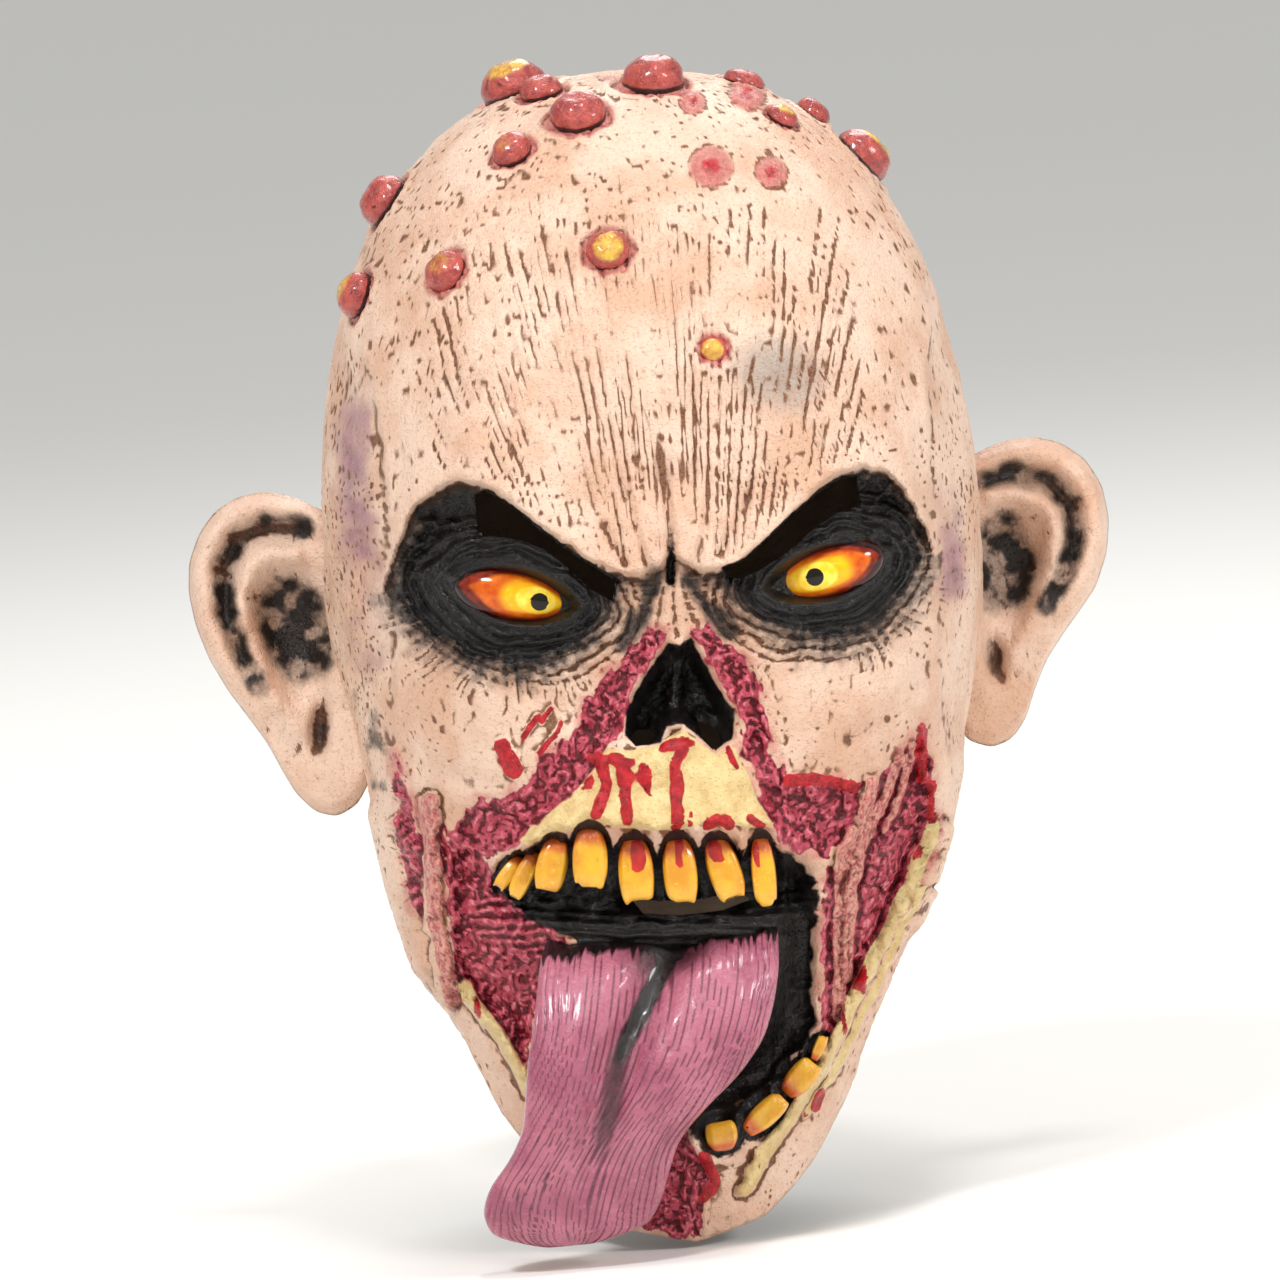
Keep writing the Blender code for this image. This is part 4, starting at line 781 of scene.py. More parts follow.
# Where the paint goes, worked out at the points of the finished shape.
def paintMasks(piece, isEar=False):
    points, normals = getPoints(piece), getNormals(piece)
    x, y = seenFrom(points)
    rx, ry = raggedPlaces(x, y, 0.8)
    flat = np.stack([x, y, np.zeros(len(x))], -1)
    front = smooth(-points[:, 1], -2, 26)
    above = ry - np.interp(rx, *np.array(browEdge).T)
    under = 1 - smooth(above, -1.2, 0.8)
    # Painted shade: hollow, deep and shade darken the skin where it lies below its smoothed shape, in the fine creases,
    # in the broad hollows and round the big forms. A slow random factor makes this shade uneven.
    fineHollow, broadHollow, wideHollow = hollowness(piece, (3, 22, 110))
    shadePatchiness = np.clip(0.55 + 0.75 * layered(points / 24, 2, 119), 0.1, 1.2)
    masks = {"hollow": np.clip(fineHollow / 0.16, 0, 1.5) * (0.45 + 0.55 * shadePatchiness), "deep": np.clip(broadHollow / 1.0, 0, 1.5) * shadePatchiness,
             "shade": np.clip(wideHollow / 2.6 + 0.35 * (shadePatchiness - 0.6), 0, 1.0)}
    black, fleshMask, bone, blood, pale, soot = (np.zeros(len(x)) for _ in range(6))
    for side in ("left", "right"):
        hollow = patchGap(rx, ry, socketEdge[side])
        middleX, middleY = eyeShape[side][:2]
        spoke = np.degrees(np.arctan2(y - middleY, (x - middleX) * 0.8)) + 4 * layered(flat / 9, 2, 37)
        ray = 1.3 * np.cos(np.radians(spoke * 360 / 7.5)) + 3.0 * layered(flat / 2.6, 3, 39)
        soot = np.maximum(soot, (1 - smooth(hollow + ray, -6, 15)) * under)
        black = np.maximum(black, (1 - smooth(hollow + 0.8 * ray, -8, 3.0)) * under)
        black = np.maximum(black, (1 - smooth(patchGap(x, y, almond(side)), 5, 11)) * under)
        black = np.maximum(black, 1 - smooth(patchGap(x, y, slitShape[side]), 0.2, 1.6))
    black = np.maximum(black, 1 - smooth(patchGap(rx, ry, nosePit), -1.6, 0.8))
    fray = 2.2 * layered(flat / 3.2, 2, 121)
    for corners in (mouthDark, jawBlack):
        black = np.maximum(black, 1 - smooth(patchGap(rx, ry, corners) + fray, -3.0, 2.0))
    for toothX, toothY, halfWide, halfTall, lean in toothTable.values():
        share = ellipseShare(x, y, toothX, toothY, halfWide + 1.6, halfTall + 1.6, lean)
        black = np.maximum(black, 1 - smooth(share, 0.98, 1.12))
    crease, along = lineGap(x, y, [(7.8, 18), (8.6, 26), (9.2, 36), (8.4, 44)])
    black = np.maximum(black, (1 - smooth(crease, 0.8, 2.6)) * (1 - along * 0.8))
    for line in ([(3, 19), (-2, 9), (-8, 0)], [(14, 18), (19, 9), (25, 0)]):
        gap, _ = lineGap(x, y, line)
        soot = np.maximum(soot, 0.9 * (1 - smooth(gap + 2 * noise(flat / 3, 107), 0.5, 7)))
    tornFray = 2.4 * layered(flat / (2.3, 4.2, 1), 3, 123)
    for corners in meat.values():
        fleshMask = np.maximum(fleshMask, 1 - smooth(patchGap(rx, ry, corners) + tornFray, -1.4, 1.0))
    bone = np.maximum(bone, 1 - smooth(patchGap(rx, ry, upperJaw), -1.0, 1.0))
    for line, half, _, kind in strands:
        gap, along = lineGap(rx, ry, line)
        cover = 1 - smooth(gap, half - 1.0, half + 0.4)
        bone = np.maximum(bone, cover * (kind == "bone"))
        pale = np.maximum(pale, cover * (kind == "pale"))
    for line, half in redDrips:
        gap, along = lineGap(rx, ry, line)
        blood = np.maximum(blood, 1 - smooth(gap, half - 0.7, half + 0.6))
    streak = smooth(noise(flat * (0.25, 0.07, 1), 101), 0.62, 0.75)
    blood = np.maximum(blood, streak * bone * 0.9)
    dark = smooth(layered(flat / 7, 2, 103), 0.10, 0.55) * fleshMask
    black = np.maximum(black, dark * 0.42)
    # the strand and the bone lie over the dark behind them
    over = np.maximum(bone, pale) * (1 - smooth(patchGap(x, y, nosePit), 0.5, -0.8))
    overMouth = np.zeros(len(x))
    for line, half, _, _ in strands:
        gap, _ = lineGap(rx, ry, line)
        overMouth = np.maximum(overMouth, 1 - smooth(gap, half - 0.8, half + 0.2))
    black = np.minimum(black, 1 - overMouth * 0.9)
    fleshMask = np.minimum(fleshMask, 1 - np.maximum(overMouth, bone) * 0.8)
    bruise = 0.55 + 0.45 * layered(flat / 9, 3, 109)
    masks["plum"] = np.maximum(
        smooth(-rx, 79, 85) * (1 - smooth(-x, 90, 106)) * smooth(y, -22, 12) * (1 - smooth(y, 70, 108)),
        smooth(rx, 89, 95) * (1 - smooth(x, 99, 110)) * smooth(y, -10, 14) * (1 - smooth(y, 28, 56)),
    ) * front * np.clip(bruise * 1.3, 0, 1)
    masks["grey"] = front * np.exp(-(ellipseShare(x, y, 47, 80, 21, 17, -20) ** 3)) * 0.8 + 0.45 * front * np.exp(-(ellipseShare(x, y, -50, 84, 24, 12, 10) ** 3))
    masks["olive"] = smooth(-rx, 82, 90) * smooth(y, -56, -38) * (1 - smooth(y, -14, 6)) * front * np.clip(0.55 + 0.8 * layered(flat / 5, 3, 111), 0, 1)
    pink = np.zeros(len(x))
    for turn, drop, radius, tall in boilTable:
        middle = headPoint(np.array([math.radians(turn)]), np.array([drop]))[0]
        pink = np.maximum(pink, 1 - smooth(np.linalg.norm(points - middle, axis=1) / (radius * 214), 1.05, 1.75))
    for sx, sy, radius in flatSpots:
        share = ellipseShare(x, y, sx, sy, radius, radius)
        pink = np.maximum(pink, (1 - smooth(share, 0.9, 1.6)) * front)
        blood = np.maximum(blood, (1 - smooth(share, 0.35, 0.95)) * front * 0.62)
    for name in ("cheekLeft", "cheekRight", "noseLeft", "noseRight", "stripLeft"):
        pink = np.maximum(pink, (0.62 + 0.3 * noise(flat / 4, 113)) * (1 - smooth(patchGap(x, y, meat[name]), 0.5, 7)) * front)
    fleshOnly = np.maximum(fleshMask, pale * 0.6)
    # painted shade: dark red where the flesh lies below its smoothed shape, between the lumps
    masks["fleshShade"] = fleshOnly * np.clip(fineHollow / 0.16 + 0.25 * layered(flat / 6, 2, 115), 0, 1) * front
    # painted highlight: paler where the flesh stands above its smoothed shape, on the tops of the lumps
    masks["fleshHighlight"] = fleshOnly * np.clip(-fineHollow / 0.22 + 0.2 * layered(flat / 5, 2, 117), 0, 1) * front
    masks.update(soot=soot * front, black=black * front, meat=fleshMask * front, bone=bone * front, blood=blood * front, pale=pale * front, pink=pink)
    for name, values in masks.items():
        setMask(piece, name, values)
    smoothFaces(piece)


paintMasks(skin)
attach(skin, "root")
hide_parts("mask_skin")
report("skin painted")

# Ears: each a ball pressed flat to the ear's outline, dished in front, its root inside the head.
earTable = {
    "left": {
        "side": -1, "middle": (-122, 10), "sweep": 0.42, "thick": 5.0,
        "outline": [(-96, 46), (-104, 51), (-112, 55.5), (-121, 58), (-130, 57), (-138, 53), (-144, 46), (-148, 37), (-149, 27), (-147.5, 16), (-144, 5), (-138.5, -6), (-132, -16), (-127, -24), (-123, -33),
                    (-119, -41), (-113, -47.5), (-106, -49.5), (-99, -46), (-94, -38), (-93, -10), (-93, 20)],
        "rim": [(-103, 47), (-113, 51.5), (-123, 53.5), (-133, 50.5), (-140, 43), (-143.5, 33), (-143, 20), (-139.5, 7), (-134, -3), (-128.5, -12)],
        "fold": [(-113, 36), (-121, 37), (-128, 33), (-131.5, 24), (-131, 12), (-127, 0), (-122, -11), (-118, -20)],
        "bowl": (-114, 13, 13.5, 20.0, 12), "notch": (-109.5, -20, 3.4, 9.5, -8), "tragus": (-103, -2, 5.5, 9.0), "lobe": (-110, -37, 9, 9),
        "gutter": [(-109, 45), (-121, 47), (-131, 43.5), (-137, 34), (-137, 20), (-133, 6), (-127.5, -6)],
    },
    "right": {
        "side": 1, "middle": (126, 12), "sweep": 0.42, "thick": 5.0,
        "outline": [(96, 44), (105, 49), (112, 53), (121, 56), (130, 56.5), (139, 54), (147, 48), (152, 39), (153.5, 28), (152, 17), (147.5, 6), (141, -2), (135, -9), (129, -17), (124.5, -26), (121, -35),
                    (116, -41.5), (109, -44), (101, -41), (96, -32), (94, -10), (94, 20)],
        "rim": [(107, 45), (117, 50), (128, 51.5), (138, 48.5), (145, 42), (148, 32), (147, 20), (142.5, 9), (136, 0), (130, -8)],
        "fold": [(115, 38), (124, 38), (132, 34), (136, 25), (134, 14), (129, 4), (123, -6), (119, -14)],
        "bowl": (117, 16, 12.5, 18.0, -12), "notch": (112, -15, 3.4, 8.0, 8), "tragus": (106, 2, 5.0, 9.0), "lobe": (112, -31, 9, 9),
        "gutter": [(111, 43), (122, 45.5), (133, 42), (141, 34), (141.5, 22), (137, 11), (130, 1)],
    },
}


# the point of the object that is seen at (x, y) when it lies at this depth along Y
def placeAt(x, y, depthY):
    px = (x - view["middleX"] - seenRight[1] * depthY) / seenRight[0]
    pz = (y - view["middleZ"] - seenUp[0] * px - seenUp[1] * depthY) / seenUp[2]
    return np.stack([px, depthY + 0 * px, pz], -1)


def addEar(name, ear):
    around, frontRings, backRings = 190, 46, 14
    outline = np.array(ear["outline"] + ear["outline"][:1], float)
    lengths = np.r_[0, np.cumsum(np.hypot(*(outline[1:] - outline[:-1]).T))]
    at = np.linspace(0, lengths[-1], around, endpoint=False)
    rim = np.stack([np.interp(at, lengths, outline[:, 0]), np.interp(at, lengths, outline[:, 1])], -1)
    for _ in range(3):
        rim = (np.roll(rim, 1, 0) + 2 * rim + np.roll(rim, -1, 0)) / 4
    middle = np.array(ear["middle"], float)
    turning = np.cross(rim - middle, np.roll(rim, -1, 0) - middle).sum()
    if turning < 0:
        rim = rim[::-1]
    headSide = float(headPoint(np.array([math.pi / 2]), np.array([0.487]))[0][0])

    def level(x, y, share):
        flat = np.stack([x, y, np.zeros(len(x))], -1)
        wobbleX, wobbleY = x + 0.5 * noise(flat / 6, 7), y + 0.5 * noise(flat / 6, 8)
        out = np.abs(x) - headSide
        rimGap, alongRim = lineGap(wobbleX, wobbleY, ear["rim"])
        foldGap, alongFold = lineGap(wobbleX, wobbleY, ear["fold"])
        gutter, alongGutter = lineGap(wobbleX, wobbleY, ear["gutter"])
        bowl = ellipseShare(wobbleX, wobbleY, *ear["bowl"])
        notch = ellipseShare(wobbleX, wobbleY, *ear["notch"])
        tragus = ellipseShare(x, y, *ear["tragus"])
        lobe = ellipseShare(x, y, *ear["lobe"])
        height = 6.2 * bell(rimGap, 5.4) * (1 - 0.5 * smooth(alongRim, 0.8, 1)) + 5.0 * bell(foldGap, 4.0) * (1 - 0.4 * smooth(alongFold, 0.85, 1))
        height -= 5.2 * bell(gutter, 3.8) * (1 - smooth(alongGutter, 0.85, 1))
        height -= 14.0 * np.exp(-(bowl**3.0)) + 6.0 * np.exp(-(notch**3))
        height += 5.0 * np.exp(-(tragus**3)) + 1.6 * np.exp(-(lobe**3))
        height += 0.35 * layered(flat / 5, 3, 15) - 0.35 * smooth(crests(flat / (5, 9, 1), 17), 0.4, 0.9)
        height *= smooth(1 - share, 0.0, 0.10) * 0.75 + 0.25
        roll = -3.4 * smooth(share, 0.90, 1.0) ** 2
        return 9.0 + ear["sweep"] * out - height - roll, out

    rows = []
    for n in range(1, frontRings + 1):
        share = (n / frontRings) ** 0.85
        spot = middle + (rim - middle) * share
        depth, _ = level(spot[:, 0], spot[:, 1], np.full(around, share))
        rows.append(placeAt(spot[:, 0], spot[:, 1], depth))
    outer = rows[-1]
    for n in range(1, backRings + 1):
        share = 1 - n / (backRings + 1)
        spot = middle + (rim - middle) * share
        depth, out = level(middle[0] + (rim[:, 0] - middle[0]) * share, spot[:, 1], np.full(around, share))
        smoothBack = 9.0 + ear["sweep"] * out + ear["thick"] * (1 - share**5) * 1.1 + 9.0 * np.exp(-(np.maximum(ellipseShare(spot[:, 0], spot[:, 1], *ear["bowl"]), 0) ** 2.5))
        rows.append(placeAt(spot[:, 0], spot[:, 1], np.maximum(smoothBack, depth + 2.0)))
    depth, _ = level(np.array([middle[0]]), np.array([middle[1]]), np.zeros(1))
    first = placeAt(middle[0], middle[1], float(depth[0]))
    last = placeAt(middle[0], middle[1], float(rows[-1][:, 1].mean()) + 1.0)
    piece, ring, turnAt = addBall(name, around, len(rows) + 1)
    wrapBall(piece, ring, turnAt, np.array(rows), first, last)
    clearSelection()
    piece.select_set(True)
    bpy.context.view_layer.objects.active = piece
    bpy.ops.object.mode_set(mode="EDIT")
    bpy.ops.mesh.select_all(action="SELECT")
    bpy.ops.mesh.normals_make_consistent(inside=False)
    bpy.ops.object.mode_set(mode="OBJECT")
    piece.data.materials.append(paintedLatex)
    points = getPoints(piece)
    x, y = seenFrom(points)
    rx, ry = raggedPlaces(x, y, 0.8)
    fineHollow, broadHollow = hollowness(piece, (3, 22))
    towardFace = getNormals(piece) @ seenBack
    facing = smooth(towardFace, -0.1, 0.3)
    # Painted shade: the ear's gutter, bowl and notch are darkened, most where they face forward, with black where they
    # lie deepest. The hollow and deep masks darken its creases and hollows.
    dark = np.zeros(len(x))
    gutter, alongGutter = lineGap(rx, ry, ear["gutter"])
    dark = np.maximum(dark, (1 - smooth(gutter, 1.5, 6.5)) * 0.95)
    dark = np.maximum(dark, 1 - smooth(ellipseShare(rx, ry, *ear["bowl"]), 0.70, 1.20))
    dark = np.maximum(dark, 0.8 * (1 - smooth(ellipseShare(rx, ry, *ear["notch"]), 0.6, 1.3)))
    blotch = smooth(layered(np.stack([x, y, 0 * x], -1) / 5.5, 3, 19), -0.35, 0.35)
    masks = dict.fromkeys(("grey", "plum", "olive", "pink", "soot", "bone", "meat", "pale", "fleshShade", "fleshHighlight", "blood"), np.zeros(len(x)))
    shadePatchiness = np.clip(0.6 + 0.7 * layered(points / 20, 2, 119), 0.1, 1.2)
    masks.update(hollow=np.clip(fineHollow / 0.12, 0, 1.5) * shadePatchiness, deep=np.clip(broadHollow / 0.7, 0, 1.4) * shadePatchiness, soot=np.clip(dark * facing * (0.62 + 0.45 * blotch), 0, 1.1),
                 black=np.clip(dark * facing - 0.3, 0, 1) * smooth(broadHollow, 0.4, 2.0) * 0.45)
    for mask, values in masks.items():
        setMask(piece, mask, values)
    smoothFaces(piece)
    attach(piece, "root")
    return piece


ears = [addEar(f"ear_{side}_sculpt", ear) for side, ear in earTable.items()]
report("ears made")


# Boils: lumpy glossy domes with a paler crown.
def addBoil(number, middle, outward, radius, tall, crown=1.0):
    piece, ring, turnAt = addBall(f"boil_{number}", 40, 24)
    ballPoints = np.array([v.co[:] for v in piece.data.vertices])
    dome = ballPoints.copy()
    flat = ballPoints * 1.0
    swell = 1 + 0.07 * layered(flat * 1.5 + number * 5, 2, 23) + 0.035 * noise(flat * 5 + number, 27)
    topDent = 0.10 * np.exp(-((1 - ballPoints[:, 2]) / 0.05) ** 2)
    dome *= (swell - topDent)[:, None]
    up = outward / np.linalg.norm(outward)
    sideWay = np.cross((0, 0, 1.0) if abs(up[2]) < 0.8 else (1.0, 0, 0), up)
    sideWay /= np.linalg.norm(sideWay)
    otherWay = np.cross(up, sideWay)
    setPoints(piece, middle + radius * (dome[:, :1] * sideWay + dome[:, 1:2] * otherWay) + radius * tall * dome[:, 2:] * up)
    piece.data.materials.append(boilPaint)
    fineHollow, _ = hollowness(piece, (2, 4))
    lean = 0.25 * ballPoints[:, 0] * math.sin(number * 2.4) + 0.25 * ballPoints[:, 1] * math.cos(number * 1.7)
    crownMask = smooth(ballPoints[:, 2] + lean, 0.45, 0.95) * crown
    # painted shade: hollow darkens the dents of each boil, and black darkens its foot, where it meets the skin
    setMask(piece, "hollow", np.clip(fineHollow / 0.1, 0, 1))
    setMask(piece, "top", crownMask)
    setMask(piece, "black", 0.75 * smooth(0.34 - ballPoints[:, 2] * tall, 0.12, 0.5))
    smoothFaces(piece)
    return piece


boils = []
crowns = [1.0, 0.2, 0.35, 0.25, 0.5, 0.35, 0.8, 0.55, 1.15, 1.2, 0.3, 0.9, 0.4, 1.25]
for number, (turn, drop, share, tall) in enumerate(boilTable):
    turn = np.array([math.radians(turn)])
    middle, outward = headPoint(turn, np.array([drop]))[0], headNormal(turn, np.array([drop]))[0]
    radius = share * 214
    boils.append(addBoil(number + 1, middle + outward * radius * 0.12, outward, radius, tall, crowns[number]))
for boil in boils[1:]:
    boil.select_set(True)
clearSelection()
for boil in boils:
    boil.select_set(True)
bpy.context.view_layer.objects.active = boils[0]
bpy.ops.object.join()
boils[0].name = boils[0].data.name = "boils"
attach(boils[0], "root")
report("boils made")

# the point of the sculpted skin that is seen at (x, y), from the front
frontGrid = np.flatnonzero((skinPoints[:, 1] < -8) & (baseNormals @ seenBack > 0.05))


def onSkin(x, y):
    away = (skinX[frontGrid] - x) ** 2 + (skinY[frontGrid] - y) ** 2
    return skinPoints[frontGrid[np.argmin(away)]]


def depthOf(x, y, radius=3.0):
    away = np.hypot(skinX[frontGrid] - x, skinY[frontGrid] - y)
    near = frontGrid[away < radius]
    return float(np.percentile(skinDepth[near], 60)) if len(near) else float(skinDepth[frontGrid[np.argmin(away)]])


def fromSeen(x, y, depth):
    x, y, depth = np.broadcast_arrays(x, y, depth)
    return (x[..., None] - view["middleX"]) * seenRight + (y[..., None] - view["middleZ"]) * seenUp + depth[..., None] * seenBack


# Eyes: a shallow glossy dome in each almond bed, yellow with a fiery edge and a small pupil.
eyeLook = dict(skinLook, light="F6BE12", mid="F0A20E", speck="F9DC5A", speckle=0.5, broad=90.0, fine=420.0, rough=0.10, bump=0.05, bumpDepth=0.0004,
               coats=[("orange", 150.0, 0.50, 0.20, 0.85, "E2741A", "C0480E", 0.10), ("ember", 220.0, 0.45, 0.25, 0.85, "8E2A12", "501208", 0.11), ("rim", 300.0, 0.2, 0.40, 0.85, "3A1410", "120605", 0.12),
                      ("iris", 300.0, 0.25, 0.40, 0.75, "FBE45C", "F6C72A", 0.08), ("pupil", 900.0, 0.08, 0.45, 0.55, "1A120C", "0B0806", 0.06)],
               bumps=[("grain", 300.0, 0.3, (1, 1, 1))], shader={"IOR": 1.36, "Coat Weight": 0.12, "Coat Roughness": 0.03})
eyeEnamel = paintFinish("Eye enamel", eyeLook)
eyeTable = {"left": {"pupil": (-33.8, 14.6), "iris": (-35.0, 15.2, 8.5, 5.6), "bulge": 6.4}, "right": {"pupil": (53.2, 15.6), "iris": (54.2, 15.8, 8.5, 5.8), "bulge": 6.4}}
for side, eye in eyeTable.items():
    middleX, middleY, lean, half, riseUp, drop = eyeShape[side]
    piece, ring, turnAt = addBall(f"eye_{side}_enamel", 110, 80)
    ballPoints = np.array([v.co[:] for v in piece.data.vertices])
    c, s = math.cos(math.radians(lean)), math.sin(math.radians(lean))
    across, up = ballPoints[:, 0] * (half + 0.8), ballPoints[:, 1] * (max(riseUp, drop) + 1.2)
    bedDepth = depthOf(middleX, middleY, 6)
    x, y = middleX + across * c - up * s, middleY + across * s + up * c
    depth = bedDepth - 3.0 + ballPoints[:, 2] * (eye["bulge"] + 2.2)
    setPoints(piece, fromSeen(x, y, depth))
    piece.data.materials.append(eyeEnamel)
    lid = patchGap(x, y, almond(side))
    irisShare = ellipseShare(x, y, *eye["iris"], lean)
    pupilGap = np.hypot(x - eye["pupil"][0], y - eye["pupil"][1])
    masks = {
        "orange": np.maximum(smooth(irisShare, 0.7, 1.8), smooth(lid, -5.0, -1.8)), "ember": smooth(lid, -3.8, -0.4) * 0.9 + 0.5 * smooth(irisShare, 1.6, 2.4), "rim": smooth(lid, -1.6, 0.4),
        "iris": 1 - smooth(irisShare, 0.5, 1.05), "pupil": 1 - smooth(pupilGap, 2.5, 3.1),
    }
    for mask, values in masks.items():
        setMask(piece, mask, values)
    smoothFaces(piece)
    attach(piece, "root")
    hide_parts(f"eye_{side}")
report("eyes made")

# Teeth: flattened pegs with a chipped edge and long grooves, painted yellow at the tip and orange at the root.
toothLook = dict(skinLook, light="E8AE22", mid="D8921A", speck="F3CC5A", speckle=0.5, broad=120.0, fine=520.0, rough=0.20, bump=0.45, bumpDepth=0.0008,
                 coats=[("orange", 260.0, 0.45, 0.25, 0.90, "DE6E1C", "C24F12", 0.16), ("brown", 420.0, 0.55, 0.40, 0.85, "A5521C", "5C2A10", 0.20), ("blood", 300.0, 0.30, 0.40, 0.60, "CC2418", "A01410", 0.12),
                        ("black", 620.0, 0.30, 0.40, 0.62, "241310", "080504", 0.18)],
                 bumps=[("creases", 380.0, 0.45, (1.6, 1.6, 0.35)), ("grain", 1100.0, 0.4, (1, 1, 1))], shader={"IOR": 1.5, "Subsurface Weight": 0.08, "Subsurface Scale": 0.002, "Coat Weight": 0.7, "Coat Roughness": 0.06})
toothEnamel = paintFinish("Stained tooth enamel", toothLook)
bloodBlots = {"upper_tooth_5": (-9.4, -67.5, 3.0, 5.6), "upper_tooth_6": (3.8, -67.0, 1.8, 5.8), "upper_tooth_7": (15.4, -68.0, 2.6, 4.2), "upper_tooth_8": (28.2, -70.0, 1.4, 4.0)}
for number, (name, (toothX, toothY, halfWide, halfTall, lean)) in enumerate(toothTable.items()):
    lower = name.startswith("lower")
    piece, ring, turnAt = addBall(f"{name}_enamel", 40, 34)
    ballPoints = np.array([v.co[:] for v in piece.data.vertices])
    a, b, d = ballPoints[:, 0], ballPoints[:, 2] * (-1 if lower else 1), -ballPoints[:, 1]
    # b runs from the biting end, -1, to the root, 1; squarer than a ball, widest near the biting end
    power = 0.42
    across = np.sign(a) * np.abs(a) ** power * (1 - 0.24 * smooth(b, -0.1, 1.0))
    along = np.sign(b) * np.abs(b) ** 0.75
    out = np.sign(d) * np.abs(d) ** 0.7
    chip = 0.10 * noise(np.stack([a * 2.6 + number * 7, b * 0 + 3, d * 0], -1), 9) * smooth(-b, 0.4, 0.95)
    groove = 0.055 * np.cos(a * 9 + number) * (1 - np.abs(b)) + 0.05 * layered(np.stack([a * 5, b * 2, d * 2], -1) + number * 3, 2, 11)
    px, py, pd = across * halfWide, (along + chip) * halfTall, (out + groove) * (3.5 if not lower else 3.2)
    lie = 1 if lower else -1
    c, s = math.cos(math.radians(lean)), math.sin(math.radians(lean))
    tall = py * (-1 if lower else 1)
    rootX, rootY = toothX - s * halfTall * 0.8 * (-1 if lower else 1), toothY + c * halfTall * 0.8 * (-1 if lower else 1)
    bed, rootBed = depthOf(toothX, toothY, 2.5), depthOf(rootX, rootY, 2.5)
    standing = max(bed, rootBed - 2.5) + 1.2
    x, y = toothX + px * c - tall * s, toothY + px * s + tall * c
    setPoints(piece, fromSeen(x, y, standing + pd + 1.3 * b * -1 * (0.6 if not lower else 0.2)))
    piece.data.materials.append(toothEnamel)
    fineHollow, _ = hollowness(piece, (3, 5))
    edge = np.maximum(np.abs(a) ** 3 * 0.9, 0)
    # brown is stain at the root and painted shade in the grooves; black is stain at the root, the sides and the chipped
    # tip, and painted shade on the back, which turns into the mouth
    masks = {
        "orange": smooth(b, -0.15, 0.75) + 0.35 * smooth(np.abs(a), 0.55, 0.95), "brown": smooth(b, 0.55, 1.05) * 0.8 + smooth(fineHollow, 0.03, 0.15) * 0.6,
        "black": smooth(b, 0.86, 1.02) * 0.9 + smooth(-d, 0.0, 0.35) * 0.9 + 0.5 * smooth(np.abs(a), 0.93, 1.0) + (0.75 * smooth(-b, 0.8, 1.0) * smooth(noise(ballPoints * 3 + number, 4), 0.0, 0.5)),
        "blood": np.zeros(len(a)),
    }
    if name in bloodBlots:
        blot = ellipseShare(x, y, *bloodBlots[name], lean)
        masks["blood"] = (1 - smooth(blot, 0.75, 1.15)) * smooth(d, 0, 0.2)
    for mask, values in masks.items():
        setMask(piece, mask, values)
    smoothFaces(piece)
    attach(piece, "root")
    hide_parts(name)
report("teeth made")

# Tongue: cuts from the root to the tip, two lobes with a groove that wanders to the right, long fine wrinkles.
tongueTable = [  # left edge, right edge, front along Y, groove's share of the width, its depth, half thickness
    ((-40, -92), (33, -91), -104, 0.58, 3.0, 6.0), ((-42.5, -98), (33, -96), -112, 0.57, 4.5, 7.0), ((-44, -106), (32.5, -106), -121, 0.50, 5.0, 8.5), ((-46, -118), (30, -117), -127, 0.44, 5.0, 9.5),
    ((-49, -130), (26, -128), -130, 0.39, 5.2, 9.5), ((-50.5, -141), (17, -139), -131, 0.41, 5.0, 9.0), ((-52, -151), (6, -148), -131, 0.46, 4.6, 9.0), ((-57, -160), (-3, -157), -129, 0.53, 4.0, 9.0),
    ((-64, -168), (-7, -167), -127, 0.62, 2.6, 9.0), ((-67, -176), (-10, -176), -125, 0.66, 1.2, 8.5), ((-64.5, -183.5), (-14.5, -183.5), -123, 0.66, 0.5, 7.0), ((-54, -188.5), (-25, -188), -121.5, 0.66, 0.0, 4.5),
]
# Tongue coats: deep, hollow, the darker tone and black are painted shade in its hollows and wrinkles, down the groove
# and at the root, where it goes into the mouth; the ridge coat is painted highlight along the wrinkles.
tongueLook = dict(skinLook, light="B4677A", mid="9A4C62", speck="C98493", speckle=0.5, broad=60.0, fine=600.0, rough=0.27, bump=0.5, bumpDepth=0.0009,
                  coats=[("deep", 300.0, 0.35, 0.30, 1.0, "8A3F52", "5E2438", 0.26), ("hollow", 900.0, 0.6, 0.50, 1.40, "7E384C", "562334", 0.22), ("tongueShade", 260.0, 0.5, 0.35, 0.95, "5B2A35", "2C1218", 0.22),
                         ("ridgeHighlight", 500.0, 0.6, 0.70, 1.4, "DDA5AC", "CE8C98", 0.25), ("black", 420.0, 0.3, 0.42, 0.72, "231315", "080505", 0.20)],
                  bumps=[("creases", 260.0, 0.5, (1.4, 1.4, 0.4)), ("pores", 1300.0, 0.25, (1, 1, 1))], shader={"IOR": 1.45, "Subsurface Weight": 0.15, "Subsurface Scale": 0.004, "Coat Weight": 0.45, "Coat Roughness": 0.14})
tonguePaint = paintFinish("Wet tongue paint", tongueLook)
around, rowsCount = 200, 220
fineAt = np.linspace(0, len(tongueTable) - 1, rowsCount)
cols = np.array([[*row[0], *row[1], *row[2:]] for row in tongueTable])
cols = np.stack([np.interp(fineAt, np.arange(len(cols)), cols[:, i]) for i in range(8)], -1)
for _ in range(60):
    cols[1:-1] = (cols[:-2] + 2 * cols[1:-1] + cols[2:]) / 4
tipRound = np.sqrt(np.clip(1 - np.clip((fineAt - (len(tongueTable) - 2.2)) / 1.25, 0, 1) ** 2, 0.0, 1))
